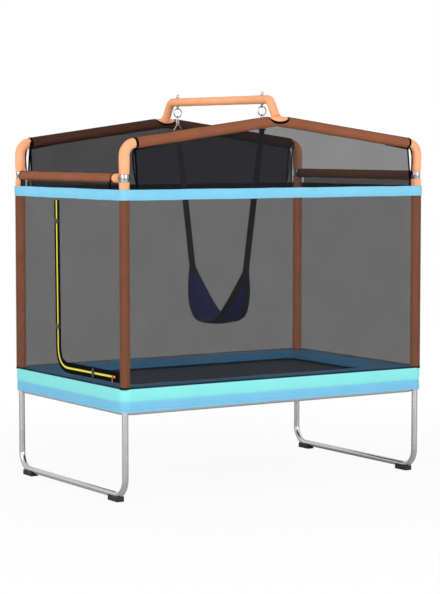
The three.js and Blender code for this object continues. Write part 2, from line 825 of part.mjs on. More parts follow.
// ---------------------------------------------------------------- net, band and door

const netInner = POLE_FOAM_R + NET_CORNER_GAP;
const netOuter = netInner + NET_THICKNESS;

// Long side: a flat panel with the gable's outline, narrower above the band than below it.
const underSleeve = (x) => gableZ(x) - GABLE_SLEEVE_R / Math.cos(GABLE_PITCH) - GAP;
const panelHalfX = CORNER_X - GAP;
const gablePanel = facingY(
  polygon([
    [-panelHalfX, NET_BOTTOM_Z],
    [panelHalfX, NET_BOTTOM_Z],
    [panelHalfX, BAND_TOP_Z],
    [GABLE_NET_HALF_X, BAND_TOP_Z],
    [GABLE_NET_HALF_X, underSleeve(GABLE_NET_HALF_X)],
    [0, underSleeve(0)],
    [-GABLE_NET_HALF_X, underSleeve(GABLE_NET_HALF_X)],
    [-GABLE_NET_HALF_X, BAND_TOP_Z],
    [-panelHalfX, BAND_TOP_Z],
  ]),
  CORNER_Y + netInner,
  CORNER_Y + netOuter,
);
for (const [side, signY] of SIDES) add(`net_${side}`, gablePanel, netCloth, 1, signY);

// Short side: it wraps round both corner poles up to the band, and ends under the beam.
function endStrip() {
  const strip = new THREE.Shape();
  strip.absarc(CORNER_X, CORNER_Y, netOuter, Math.PI / 2, 0, true);
  strip.absarc(CORNER_X, -CORNER_Y, netOuter, 0, -Math.PI / 2, true);
  strip.absarc(CORNER_X, -CORNER_Y, netInner, -Math.PI / 2, 0, false);
  strip.absarc(CORNER_X, CORNER_Y, netInner, 0, Math.PI / 2, false);
  strip.closePath();
  return strip;
}

const underBeamHalfY = CORNER_Y - BEND_FOAM_R - GAP;
const endNet = join(
  upright(endStrip(), NET_BOTTOM_Z, BAND_TOP_Z),
  box(
    at(CORNER_X + netInner, -underBeamHalfY, BAND_TOP_Z - 5),
    at(CORNER_X + netOuter, underBeamHalfY, BEAM_Z - BEAM_SLEEVE_R - GAP),
  ),
);

// The zip's line: along the bottom from the tip, round the lower corner and up the side.
const doorCurve = new THREE.QuadraticBezierCurve(
  new THREE.Vector2(DOOR_SIDE_Y - DOOR_CURVE, DOOR_FOOT_Z),
  new THREE.Vector2(DOOR_SIDE_Y, DOOR_FOOT_Z),
  new THREE.Vector2(DOOR_SIDE_Y, DOOR_FOOT_Z + DOOR_CURVE),
);
const doorOutline = [
  [DOOR_TIP_Y, DOOR_FOOT_Z],
  ...doorCurve.getPoints(ARC_STEPS).map((point) => point.toArray()),
  [DOOR_TOP_Y, DOOR_TOP_Z],
];
const doorHole = facingX(
  polygon(doorOutline),
  CORNER_X + netInner - 1,
  CORNER_X + netOuter + 1,
);
const doorFlap = facingX(
  polygon(inset(doorOutline, DOOR_SEAM)),
  CORNER_X + netInner,
  CORNER_X + netOuter,
);
add("net_right", endNet, netCloth);
add("net_left", cut(endNet, doorHole), netCloth, -1);
add("door_flap", doorFlap, netCloth, -1);

const bandOffset = netOuter + GAP + BAND_THICKNESS;
add(
  "top_band",
  upright(
    ringShape(CORNER_X + bandOffset, CORNER_Y + bandOffset, bandOffset, BAND_THICKNESS),
    BAND_BOTTOM_Z,
    BAND_TOP_Z,
  ),
  bandCloth,
);

// The zip's slider lies outside the net in front of the door's tip, with its pull hanging down.
const sliderX = CORNER_X + netOuter + GAP;
const slider = join(
  box(
    at(0, -SLIDER_LENGTH / 2, -SLIDER_HEIGHT / 2),
    at(SLIDER_THICKNESS, SLIDER_LENGTH / 2, SLIDER_HEIGHT / 2),
  ),
  box(
    at(SLIDER_THICKNESS - PULL_THICKNESS, -PULL_WIDTH / 2, -SLIDER_HEIGHT / 2 - PULL_LENGTH),
    at(SLIDER_THICKNESS, PULL_WIDTH / 2, 0),
  ),
).translate(sliderX, SLIDER_REST_Y, DOOR_FOOT_Z);
add("zip_slider", slider, zipMetal, -1);

export default group;
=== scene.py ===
# Toddlers' garden trampoline with a safety net, gable arches and a sling swing, dressed for rendering.
# Metres, +Z up, the front long side faces -Y and the zipped door is in the -X end.
import math

import bmesh
import bpy
import numpy as np
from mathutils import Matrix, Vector


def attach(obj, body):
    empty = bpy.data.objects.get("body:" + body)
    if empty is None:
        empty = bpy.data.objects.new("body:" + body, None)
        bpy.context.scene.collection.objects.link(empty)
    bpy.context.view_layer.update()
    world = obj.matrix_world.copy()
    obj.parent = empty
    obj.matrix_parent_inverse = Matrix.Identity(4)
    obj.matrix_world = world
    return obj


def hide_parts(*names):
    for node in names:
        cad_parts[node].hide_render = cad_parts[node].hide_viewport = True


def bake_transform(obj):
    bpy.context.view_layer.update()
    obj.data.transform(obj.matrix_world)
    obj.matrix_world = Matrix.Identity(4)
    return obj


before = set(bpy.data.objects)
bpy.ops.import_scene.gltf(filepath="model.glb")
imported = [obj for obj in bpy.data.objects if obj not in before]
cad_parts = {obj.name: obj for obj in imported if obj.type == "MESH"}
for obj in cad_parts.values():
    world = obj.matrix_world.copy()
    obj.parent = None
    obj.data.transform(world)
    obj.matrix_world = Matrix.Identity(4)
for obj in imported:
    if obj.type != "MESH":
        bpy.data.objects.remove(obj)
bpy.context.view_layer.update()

# ------------------------------------------------------------------ camera, floor and light
# A plain white studio: a long lens from the front left, a white floor that fades into a white
# background, one broad lamp over the front, a softer one for the left end, and a narrow spot that
# gives the crossbar, high up and further off, as much light as the rest.


def linear(code):
    """A six-digit sRGB hex colour as linear red, green, blue and alpha."""
    channels = [int(code[i : i + 2], 16) / 255 for i in (0, 2, 4)]
    return [c / 12.92 if c <= 0.04045 else ((c + 0.055) / 1.055) ** 2.4 for c in channels] + [1.0]


def add_node(tree, kind, inputs=None, **settings):
    """A node with its settings; each input takes a value or the socket that feeds it."""
    made = tree.nodes.new(kind)
    for name, value in settings.items():
        setattr(made, name, value)
    for name, value in (inputs or {}).items():
        if isinstance(value, bpy.types.NodeSocket):
            tree.links.new(value, made.inputs[name])
        else:
            made.inputs[name].default_value = value
    return made


scene = bpy.context.scene
scene.view_settings.view_transform = "Standard"

# The camera was fitted to the photograph: its turn, rise and distance, the point that it aims at,
# and its focal length in pixels of the photograph's height.
VIEW_TURN, VIEW_RISE, VIEW_DISTANCE = math.radians(-32.695), math.radians(4.368), 10.7955
AIM_ASIDE, AIM_Z = 0.00779, 0.95114
FOCAL_PIXELS, FRAME_PIXELS, SENSOR_MM = 2005.99, 594, 36
LOOK_AT = Vector((AIM_ASIDE * math.cos(VIEW_TURN), AIM_ASIDE * math.sin(VIEW_TURN), AIM_Z))
camera_data = bpy.data.cameras.new("camera")
camera_data.lens = FOCAL_PIXELS * SENSOR_MM / FRAME_PIXELS
camera = bpy.data.objects.new("camera", camera_data)
scene.collection.objects.link(camera)
back = Vector(
    (
        math.sin(VIEW_TURN) * math.cos(VIEW_RISE),
        -math.cos(VIEW_TURN) * math.cos(VIEW_RISE),
        math.sin(VIEW_RISE),
    )
)
camera.location = LOOK_AT + back * VIEW_DISTANCE
camera.rotation_euler = (math.pi / 2 - VIEW_RISE, 0, VIEW_TURN)
scene.camera = camera

world = bpy.data.worlds.new("white_studio")
world.use_nodes = True
scene.world = world
sky = world.node_tree
sky.nodes.clear()
rays = add_node(sky, "ShaderNodeLightPath")
seen = add_node(
    sky,
    "ShaderNodeMath",
    {0: rays.outputs["Is Camera Ray"], 1: rays.outputs["Is Glossy Ray"]},
    operation="MAXIMUM",
)
seen = add_node(
    sky,
    "ShaderNodeMath",
    {0: seen.outputs[0], 1: rays.outputs["Is Transmission Ray"]},
    operation="MAXIMUM",
)
room_light = add_node(sky, "ShaderNodeBackground", {"Color": linear("f4f7fb"), "Strength": 0.62})
backdrop = add_node(sky, "ShaderNodeBackground", {"Color": (1, 1, 1, 1), "Strength": 1.0})
mixed = add_node(
    sky,
    "ShaderNodeMixShader",
    {0: seen.outputs[0], 1: room_light.outputs[0], 2: backdrop.outputs[0]},
)
add_node(sky, "ShaderNodeOutputWorld", {"Surface": mixed.outputs[0]})

for name, place, size, power in (
    ("lamp_front", (1.0, -9.0, 3.4), 7.2, 350),
    ("lamp_left", (-9.0, -2.5, 2.9), 6.3, 320),
):
    lamp_data = bpy.data.lights.new(name, "AREA")
    lamp_data.shape = "DISK"
    lamp_data.size = size
    lamp_data.energy = power
    lamp = bpy.data.objects.new(name, lamp_data)
    lamp.location = place
    aim = Vector((0, 0, 0.9)) - Vector(place)
    lamp.rotation_euler = aim.to_track_quat("-Z", "Y").to_euler()
    scene.collection.objects.link(lamp)

spot_data = bpy.data.lights.new("spot_crossbar", "SPOT")
spot_data.spot_size = math.radians(6.6)
spot_data.spot_blend = 0.35
spot_data.shadow_soft_size = 0.5
spot_data.energy = 1050
spot = bpy.data.objects.new("spot_crossbar", spot_data)
spot.location = (-9.0, 0.5, 2.6)
spot.rotation_euler = (Vector((0, 0, 2.0)) - spot.location).to_track_quat("-Z", "Y").to_euler()
scene.collection.objects.link(spot)

floor_mesh = bpy.data.meshes.new("floor")
floor_mesh.from_pydata([(-9, -9, 0), (9, -9, 0), (9, 9, 0), (-9, 9, 0)], [], [(0, 1, 2, 3)])
floor_sheet = bpy.data.objects.new("floor", floor_mesh)
scene.collection.objects.link(floor_sheet)
floor_paint = bpy.data.materials.new("white_floor")
floor_paint.use_nodes = True
tree = floor_paint.node_tree
tree.nodes.clear()
# Near the object the floor keeps part of its shadow; further out it is the backdrop's white.
place = add_node(tree, "ShaderNodeTexCoord").outputs["Object"]
reach = add_node(tree, "ShaderNodeVectorMath", {0: place}, operation="LENGTH").outputs["Value"]
fade = add_node(
    tree,
    "ShaderNodeMapRange",
    {"Value": reach, "From Min": 1.4, "From Max": 3.2, "To Min": 0.93, "To Max": 1.0},
)
rays = add_node(tree, "ShaderNodeLightPath")
glow_share = add_node(
    tree,
    "ShaderNodeMath",
    {0: fade.outputs[0], 1: rays.outputs["Is Camera Ray"]},
    operation="MULTIPLY",
)
matt = add_node(tree, "ShaderNodeBsdfDiffuse", {"Color": (0.85, 0.85, 0.85, 1)})
glow = add_node(tree, "ShaderNodeEmission", {"Color": (1, 1, 1, 1), "Strength": 1.0})
mixed = add_node(
    tree,
    "ShaderNodeMixShader",
    {0: glow_share.outputs[0], 1: matt.outputs[0], 2: glow.outputs[0]},
)
add_node(tree, "ShaderNodeOutputMaterial", {"Surface": mixed.outputs[0]})
floor_sheet.data.materials.append(floor_paint)

# ------------------------------------------------------------------ legs and feet
# Two U-shaped legs of 32 mm steel tube, drawn, bent cold and galvanised bright, each standing on
# two moulded rubber boots that the floor bar is pressed into.

CORNER_X, CORNER_Y = 0.903, 0.556
TUBE_RADIUS, TUBE_WALL, FIT_GAP = 0.016, 0.0018, 0.0003
TUBE_BORE = TUBE_RADIUS - TUBE_WALL
LEG_TOP_Z, FLOOR_BAR_Z, LEG_BEND = 0.495, 0.031, 0.09
ENDS = (("left", -1), ("right", 1))
SIDES = (("front", -1), ("rear", 1))


def bend_path(corners, radius, steps=14):
    """Straight runs between the corners, with an arc of one radius at each inner corner."""
    corners = [Vector(c) for c in corners]
    points = [corners[0]]
    for before, here, after in zip(corners, corners[1:], corners[2:]):
        back, on = (before - here).normalized(), (after - here).normalized()
        half = back.angle(on) / 2
        centre = here + (back + on).normalized() * radius / math.sin(half)
        start = here + back * radius / math.tan(half) - centre
        axis = on.cross(back).normalized()
        for k in range(steps + 1):
            turn = (math.pi - 2 * half) * k / steps
            spoke = start.copy()
            spoke = (
                spoke * math.cos(turn)
                + axis.cross(spoke) * math.sin(turn)
                + axis * axis.dot(spoke) * (1 - math.cos(turn))
            )
            points.append(centre + spoke)
    points.append(corners[-1])
    return points


def finely(path, step):
    """The same path with a point at least every step."""
    points = [Vector(path[0])]
    for a, b in zip(path, path[1:]):
        parts = max(1, math.ceil((Vector(b) - Vector(a)).length / step))
        points += [Vector(a).lerp(Vector(b), k / parts) for k in range(1, parts + 1)]
    return points


def tube(path, radius, across, bore=0.0, sides=28, relief=None, closed=False):
    """A round tube along a path that lies in the plane square to the direction across.

    radius is one number or one for each point. relief(angle, length) adds to the outer radius.
    Returns points, faces and the faces' UVs, in metres round and along the tube."""
    spine = np.array([tuple(p) for p in path], float)
    count = len(spine)
    if closed:
        ahead, behind = np.roll(spine, -1, 0) - spine, spine - np.roll(spine, 1, 0)
    else:
        ahead = np.diff(spine, axis=0, append=2 * spine[-1:] - spine[-2:-1])
        behind = np.diff(spine, axis=0, prepend=2 * spine[:1] - spine[1:2])

    def unit(v):
        return v / np.linalg.norm(v, axis=1, keepdims=True)

    along = unit(unit(ahead) + unit(behind))
    side = np.array(tuple(across), float)
    side = unit(side - along * (along @ side)[:, None])
    up = np.cross(side, along)
    miter = 1 / np.clip((unit(ahead) * along).sum(1), 0.5, 1)
    length = np.concatenate([[0], np.cumsum(np.linalg.norm(np.diff(spine, axis=0), axis=1))])
    angles = np.linspace(0, 2 * math.pi, sides, endpoint=False)
    radii = np.broadcast_to(np.asarray(radius, float).reshape(-1, 1), (count, sides)).copy()
    if relief:
        radii += relief(angles[None, :], length[:, None])

    def ring(r):
        sideways = side[:, None] * (np.cos(angles)[None, :] * r)[..., None]
        upwards = up[:, None] * (np.sin(angles)[None, :] * r * miter[:, None])[..., None]
        return (spine[:, None] + sideways + upwards).reshape(-1, 3)

    points = ring(radii)
    girth = 2 * math.pi * float(np.mean(radii))
    faces, uvs = [], []

    def wall(base, flip):
        for i in range(count if closed else count - 1):
            here, there = base + i * sides, base + (i + 1) % count * sides
            for k in range(sides):
                m = (k + 1) % sides
                face = [here + k, here + m, there + m, there + k]
                u, w = girth * k / sides, girth * (k + 1) / sides
                v, t = length[i], length[i + 1] if i + 1 < count else length[i] + 0.001
                uv = [(u, v), (w, v), (w, t), (u, t)]
                faces.append(face[::-1] if flip else face)
                uvs.append(uv[::-1] if flip else uv)

    wall(0, False)
    if bore:
        points = np.vstack([points, ring(np.full((count, sides), float(bore)))])
        wall(count * sides, True)
    if not closed:
        for row in (0, count - 1):
            outer = [row * sides + k for k in range(sides)]
            if bore:
                inner = [count * sides + v for v in outer]
                for k in range(sides):
                    m = (k + 1) % sides
                    faces.append([outer[k], inner[k], inner[m], outer[m]])
                    uvs.append([(0, 0), (0, 0.002), (0.002, 0.002), (0.002, 0)])
            else:
                faces.append(outer)
                uvs.append([(0.01 * math.cos(a), 0.01 * math.sin(a)) for a in angles])
    return points, faces, uvs, [0] * len(faces)


def placed(shape, material=None, mirror=(1, 1, 1), shift=(0, 0, 0)):
    """The shape mirrored and then moved, with all its faces set to one material if given."""
    points, faces, uvs, finish = shape
    moved = np.asarray(points, float) * np.array(mirror) + np.array(shift)
    return moved, faces, uvs, finish if material is None else [material] * len(faces)


def piece(name, shapes, materials, body, sharp=32):
    """One object from closed shapes, normals outwards, smooth except at edges over sharp degrees."""
    points, faces, uvs, finish = [], [], [], []
    for shape in shapes:
        start = len(points)
        points += [tuple(p) for p in shape[0]]
        faces += [[start + v for v in face] for face in shape[1]]
        uvs += shape[2]
        finish += shape[3]
    mesh = bpy.data.meshes.new(name)
    mesh.from_pydata(points, [], faces)
    layer = mesh.uv_layers.new(name="UVMap")
    layer.data.foreach_set("uv", np.array([c for face in uvs for uv in face for c in uv], np.float32))
    mesh.polygons.foreach_set("material_index", finish)
    for material in materials:
        mesh.materials.append(material)
    work = bmesh.new()
    work.from_mesh(mesh)
    bmesh.ops.remove_doubles(work, verts=work.verts, dist=1e-6)
    bmesh.ops.recalc_face_normals(work, faces=work.faces)
    work.to_mesh(mesh)
    work.free()
    mesh.shade_smooth()
    mesh.set_sharp_from_angle(angle=math.radians(sharp))
    made = bpy.data.objects.new(name, mesh)
    scene.collection.objects.link(made)
    if body:
        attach(made, body)
    return made


def new_finish(name):
    """An empty material: its tree, and a Principled shader wired to the output."""
    made = bpy.data.materials.new(name)
    made.use_nodes = True
    made.node_tree.nodes.clear()
    shader = add_node(made.node_tree, "ShaderNodeBsdfPrincipled")
    add_node(made.node_tree, "ShaderNodeOutputMaterial", {"Surface": shader.outputs[0]})
    return made, made.node_tree, shader


def bright_steel(name, colour, roughness, streak):
    """Drawn steel tube with a bright zinc coat: faint lengthwise die lines and soft blotches of
    zinc, which blur the reflections unevenly."""
    made, tree, shader = new_finish(name)
    shader.inputs["Metallic"].default_value = 1.0
    uv = add_node(tree, "ShaderNodeTexCoord").outputs["UV"]
    # Die lines 0.8 mm apart round the tube and about 120 mm long.
    stretched = add_node(tree, "ShaderNodeMapping", {"Vector": uv, "Scale": (1200, 8, 1)})
    lines = add_node(tree, "ShaderNodeTexNoise", {"Vector": stretched.outputs[0], "Scale": 1.0, "Detail": 2})
    place = add_node(tree, "ShaderNodeTexCoord").outputs["Object"]
    blotch = add_node(tree, "ShaderNodeTexNoise", {"Vector": place, "Scale": 22, "Detail": 3})
    rough = add_node(
        tree,
        "ShaderNodeMapRange",
        {"Value": blotch.outputs["Fac"], "To Min": roughness - streak, "To Max": roughness + streak},
    )
    tone = add_node(tree, "ShaderNodeValToRGB", {"Fac": lines.outputs["Fac"]})
    tone.color_ramp.elements[0].color = [c * 0.85 for c in linear(colour)[:3]] + [1]
    tone.color_ramp.elements[1].color = linear(colour)
    tone.color_ramp.elements[0].position = 0.25
    tone.color_ramp.elements[1].position = 0.6
    bump = add_node(
        tree, "ShaderNodeBump", {"Height": lines.outputs["Fac"], "Strength": 0.06, "Distance": 0.0003}
    )
    tree.links.new(tone.outputs["Color"], shader.inputs["Base Color"])
    tree.links.new(rough.outputs[0], shader.inputs["Roughness"])
    tree.links.new(bump.outputs[0], shader.inputs["Normal"])
    return made


leg_steel = bright_steel("bright_zinc_tube", "c9c8c8", 0.25, 0.06)
rubber_black, tree, shader = new_finish("moulded_black_rubber")
# Moulded rubber: matt black with a fine pebble grain of about 1.5 mm.
shader.inputs["Base Color"].default_value = linear("17171a")
place = add_node(tree, "ShaderNodeTexCoord").outputs["Object"]
grain = add_node(tree, "ShaderNodeTexVoronoi", {"Vector": place, "Scale": 650})
dust = add_node(tree, "ShaderNodeTexNoise", {"Vector": place, "Scale": 60, "Detail": 3})
rough = add_node(
    tree, "ShaderNodeMapRange", {"Value": dust.outputs["Fac"], "To Min": 0.5, "To Max": 0.72}
)
tree.links.new(rough.outputs[0], shader.inputs["Roughness"])
bump = add_node(
    tree, "ShaderNodeBump", {"Height": grain.outputs["Distance"], "Strength": 0.3, "Distance": 0.0003}
)
tree.links.new(bump.outputs[0], shader.inputs["Normal"])


def loft(rows, closed_rows=True, close_ends=True, material=0):
    """A skin over rows of equally many points; each row closes on itself, and the ends are capped."""
    count, width = len(rows), len(rows[0])
    points = np.array([tuple(p) for row in rows for p in row], float)
    faces, uvs = [], []
    for i in range(count - 1):
        for k in range(width if closed_rows else width - 1):
            m = (k + 1) % width
            faces.append([i * width + k, i * width + m, (i + 1) * width + m, (i + 1) * width + k])
            uvs.append([(points[v][0] + points[v][1], points[v][2]) for v in faces[-1]])
    if close_ends:
        for row in (0, count - 1):
            faces.append([row * width + k for k in range(width)])
            uvs.append([(points[v][0], points[v][2]) for v in faces[-1]])
    return points, faces, uvs, [material] * len(faces)


def rubber_boot():
    """A rubber block with a ribbed outside and a groove that follows the floor bar and its bend."""
    half_width, top, groove = 0.021, 0.028, TUBE_RADIUS + FIT_GAP
    rows = []
    stations = [0.413, 0.4136, 0.415] + [0.419 + 0.004 * k for k in range(22)] + [0.506, 0.5074, 0.508]
    for i, y in enumerate(stations):
        end = min(y - 0.413, 0.508 - y)
        inset = 0.002 - math.sqrt(max(0, 0.002**2 - max(0, 0.002 - end) ** 2)) if end < 0.002 else 0
        rib = 0.0011 if i % 3 == 1 and 3 < i < len(stations) - 4 else 0
        reach = max(0, y - (CORNER_Y - LEG_BEND))
        axis_z = FLOOR_BAR_Z + LEG_BEND - math.sqrt(LEG_BEND**2 - reach**2)
        spread = math.acos(max(-1, min(1, (axis_z - top + inset) / groove)))
        x = half_width - inset - rib
        outer = [(-x, 0.002), (-x + 0.002, inset), (x - 0.002, inset), (x, 0.002)]
        outer += [(x, top - 0.006), (x - 0.0012, top - 0.002 - inset), (x - 0.0035, top - inset)]
        arc = [spread * (1 - 2 * k / 14) for k in range(15)]
        outer += [(groove * math.sin(a), axis_z - groove * math.cos(a)) for a in arc]
        outer += [(-x + 0.0035, top - inset), (-x + 0.0012, top - 0.002 - inset), (-x, top - 0.006)]
        rows.append([(CORNER_X + px, y, pz) for px, pz in outer])
    return loft(rows)


leg_path = bend_path(
    [
        (CORNER_X, -CORNER_Y, LEG_TOP_Z),
        (CORNER_X, -CORNER_Y, FLOOR_BAR_Z),
        (CORNER_X, CORNER_Y, FLOOR_BAR_Z),
        (CORNER_X, CORNER_Y, LEG_TOP_Z),
    ],
    LEG_BEND,
    20,
)
leg_shape = tube(finely(leg_path, 0.06), TUBE_RADIUS, (1, 0, 0), bore=TUBE_BORE, sides=40)
boot_shape = rubber_boot()
for end, sign in ENDS:
    leg = piece(f"u_leg_{end}", [placed(leg_shape, mirror=(sign, 1, 1))], [leg_steel], "frame")
    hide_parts(f"leg_{end}")
    for side, turn in SIDES:
        boot = piece(
            f"rubber_boot_{end}_{side}",
            [placed(boot_shape, mirror=(sign, turn, 1))],
            [rubber_black],
            "frame",
        )
        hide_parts(f"foot_{end}_{side}")

# ------------------------------------------------------------------ jumping frame
# Welded end frames of the same tube: a lower and an upper rail bent round each end, with a socket
# welded into both corners, and long rails whose swaged ends plug into the end frames' stubs.

LOWER_RAIL_Z, UPPER_RAIL_Z, RAIL_BEND = 0.453, 0.530, 0.06
STUB_END_X = CORNER_X - RAIL_BEND - 0.06
SOCKET_RADIUS, SOCKET_LOW, SOCKET_HIGH = 0.019, 0.446, 0.546

# The frame's tube is painted a little lighter than the legs' tube: painted light for the rails, which stand
# in the shade under the skirt.
frame_steel_painted_lighter = bright_steel("galvanised_frame_tube_painted_lighter", "d0cbca", 0.34, 0.08)


def bead(centre, axis, ring, thick):
    """A weld bead or a rolled lip: a small round ring about an axis."""
    axis = Vector(axis).normalized()
    first = axis.orthogonal().normalized()
    second = axis.cross(first)
    turns = [2 * math.pi * k / 28 for k in range(28)]
    loop = [Vector(centre) + first * ring * math.cos(a) + second * ring * math.sin(a) for a in turns]
    return tube(loop, thick, axis, sides=8, closed=True)


end_frame = []
for z in (LOWER_RAIL_Z, UPPER_RAIL_Z):
    corners = [
        (STUB_END_X, -CORNER_Y, z),
        (CORNER_X, -CORNER_Y, z),
        (CORNER_X, CORNER_Y, z),
        (STUB_END_X, CORNER_Y, z),
    ]
    path = finely(bend_path(corners, RAIL_BEND), 0.08)
    end_frame.append(tube(path, TUBE_RADIUS, (0, 0, 1), bore=TUBE_BORE))
for y in (-CORNER_Y, CORNER_Y):
    path = [(CORNER_X, y, SOCKET_LOW), (CORNER_X, y, SOCKET_HIGH)]
    end_frame.append(tube(path, SOCKET_RADIUS, (1, 0, 0), bore=TUBE_RADIUS + FIT_GAP))
    for z in (SOCKET_LOW + 0.001, SOCKET_HIGH - 0.001):
        end_frame.append(bead((CORNER_X, y, z), (0, 0, 1), 0.0185, 0.0011))
    # The spring button that locks the leg in its socket.
    button = [(CORNER_X + out, y, 0.478) for out in (0.0185, 0.0215, 0.0225)]
    end_frame.append(tube(button, [0.004, 0.0036, 0.0018], (0, 1, 0), sides=16))
for end, sign in ENDS:
    rails = piece(
        f"welded_end_frame_{end}",
        [placed(shape, mirror=(sign, 1, 1)) for shape in end_frame],
        [frame_steel_painted_lighter],
        "frame",
    )
    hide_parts(f"frame_end_{end}")

for level, z in (("lower", LOWER_RAIL_Z), ("upper", UPPER_RAIL_Z)):
    half, spigot = STUB_END_X - FIT_GAP, TUBE_BORE - FIT_GAP
    # One end, from the swaged spigot's tip over its shoulder to the full tube; then both ends.
    xs = [half + 0.05, half, half - 0.0001, half - 0.002]
    radii = [spigot, spigot, TUBE_RADIUS - 0.0006, TUBE_RADIUS]
    xs, radii = [-x for x in xs] + xs[::-1], radii + radii[::-1]
    rail = tube([(x, CORNER_Y, z) for x in xs], radii, (0, 0, 1), bore=spigot - TUBE_WALL)
    for side, turn in SIDES:
        shapes = [placed(rail, mirror=(1, turn, 1))]
        long_rail = piece(f"long_rail_{level}_{side}", shapes, [frame_steel_painted_lighter], "frame")
        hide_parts(f"{level}_rail_{side}")

# ------------------------------------------------------------------ jumping mat
# Black woven polypropylene, hemmed all round with a doubled webbing that carries the spring
# triangles. Four sectors meet on the lines from its corners.

MAT_HALF_X, MAT_HALF_Y, MAT_CORNER, MAT_Z, MAT_THICK = 0.790, 0.443, 0.040, 0.536, 0.002
HEM_WIDTH = 0.032
# Blender's banded wave repeats after this many metres at a scale of 1.
WAVE_PERIOD = 0.31416


def woven_cloth(name, colour, thread, rough, mottle=0.08, depth=0.3, sheen=0.15, on_uv=True, gloss=0.5):
    """Plain-woven synthetic cloth: two crossing sets of rounded threads that catch the light, a
    slow mottling where the dye took unevenly, and a thin sheen from the loose fibres."""
    made, tree, shader = new_finish(name)
    shader.inputs["Roughness"].default_value = rough
    shader.inputs["Specular IOR Level"].default_value = gloss
    shader.inputs["Sheen Weight"].default_value = sheen
    shader.inputs["Sheen Roughness"].default_value = 0.4
    where = add_node(tree, "ShaderNodeTexCoord")
    flat = where.outputs["UV" if on_uv else "Object"]
    warp, weft = (
        add_node(
            tree,
            "ShaderNodeTexWave",
            {"Vector": flat, "Scale": WAVE_PERIOD / thread, "Distortion": 0.4, "Detail": 1},
            bands_direction=direction,
        )
        for direction in ("X", "Y")
    )
    cross = add_node(
        tree,
        "ShaderNodeMath",
        {0: warp.outputs["Fac"], 1: weft.outputs["Fac"]},
        operation="MULTIPLY",
    )
    cloud = add_node(tree, "ShaderNodeTexNoise", {"Vector": where.outputs["Object"], "Scale": 9, "Detail": 5})
    tone = add_node(tree, "ShaderNodeValToRGB", {"Fac": cloud.outputs["Fac"]})
    pure = linear(colour)
    tone.color_ramp.elements[0].color = [c * (1 - mottle) for c in pure[:3]] + [1]
    tone.color_ramp.elements[1].color = [min(1, c * (1 + mottle)) for c in pure[:3]] + [1]
    tone.color_ramp.elements[0].position = 0.3
    tone.color_ramp.elements[1].position = 0.7
    # The colour is darkened where the weave lies low between the threads: painted shade.
    painted_thread_shade = add_node(
        tree, "ShaderNodeMapRange", {"Value": cross.outputs[0], "To Min": 1 - 0.35 * depth, "To Max": 1.0}
    )
    colour_with_painted_shade = add_node(
        tree,
        "ShaderNodeVectorMath",
        {0: tone.outputs["Color"]},
        operation="SCALE",
    )
    tree.links.new(painted_thread_shade.outputs[0], colour_with_painted_shade.inputs["Scale"])
    bump = add_node(
        tree, "ShaderNodeBump", {"Height": cross.outputs[0], "Strength": depth, "Distance": thread * 0.25}
    )
    tree.links.new(colour_with_painted_shade.outputs["Vector"], shader.inputs["Base Color"])
    tree.links.new(bump.outputs[0], shader.inputs["Normal"])
    return made


# Real threads are 1.2 mm; drawn 3 mm apart so that the weave reads.
mat_weave = woven_cloth("woven_polypropylene_mat", "10253c", 0.003, 0.62, 0.12, 0.5, 0.05, on_uv=False)
black_webbing = woven_cloth("black_polyester_webbing", "202022", 0.0022, 0.7, 0.05, 0.6, 0.1)


def mat_sector(long_side):
    """One sector, from its hem to the mat's middle, drawn along +X with the hem towards +Y."""
    own, other = (MAT_HALF_Y, MAT_HALF_X) if long_side else (MAT_HALF_X, MAT_HALF_Y)
    deep = MAT_HALF_Y
    inward = [0, 0.002, 0.005, 0.009, 0.0117, 0.02, HEM_WIDTH - 0.001, HEM_WIDTH + 0.001]
    inward += [HEM_WIDTH + 0.001 + (deep - HEM_WIDTH - 0.001) * k / 22 for k in range(1, 23)]
    columns = 40 if long_side else 24
    points = []
    for d in inward:
        half = other - d
        if d < MAT_CORNER:
            half = min(half, other - MAT_CORNER + math.sqrt(MAT_CORNER**2 - (MAT_CORNER - d) ** 2))
        thick = MAT_THICK / 2 + (0.0009 if d <= HEM_WIDTH else 0)
        row = [(half * (2 * k / columns - 1), own - d) for k in range(columns + 1)]
        points.append([(x, y, MAT_Z + thick) for x, y in row])
        points.append([(x, y, MAT_Z - thick) for x, y in row])
    width = columns + 1
    flat = [p for row in points for p in row]
    faces, finish = [], []
    last = len(inward) - 1

    def at(row, k, under):
        return (2 * row + under) * width + k

    for i in range(last):
        cloth = 1 if inward[i + 1] <= HEM_WIDTH else 0
        for k in range(columns):
            faces.append([at(i, k, 0), at(i + 1, k, 0), at(i + 1, k + 1, 0), at(i, k + 1, 0)])
            faces.append([at(i, k, 1), at(i, k + 1, 1), at(i + 1, k + 1, 1), at(i + 1, k, 1)])
            finish += [cloth, cloth]
        for k in (0, columns):
            faces.append([at(i, k, 0), at(i, k, 1), at(i + 1, k, 1), at(i + 1, k, 0)])
            finish.append(cloth)
    for row in (0, last):
        for k in range(columns):
            faces.append([at(row, k, 0), at(row, k + 1, 0), at(row, k + 1, 1), at(row, k, 1)])
            finish.append(1 if row == 0 else 0)
    uvs = [[(flat[v][0], flat[v][1]) for v in face] for face in faces]
    return np.array(flat), faces, uvs, finish


def turned(shape, quarter):
    """The shape turned about Z by quarter turns."""
    points, faces, uvs, finish = shape
    c, s = round(math.cos(quarter * math.pi / 2)), round(math.sin(quarter * math.pi / 2))
    spun = np.array([(c * x - s * y, s * x + c * y, z) for x, y, z in points])
    return spun, faces, uvs, finish


SECTORS = (("rear", True, 0), ("left", False, 1), ("front", True, 2), ("right", False, 3))


def dish(made):
    """Bake a piece's placement into its mesh."""
    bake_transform(made)


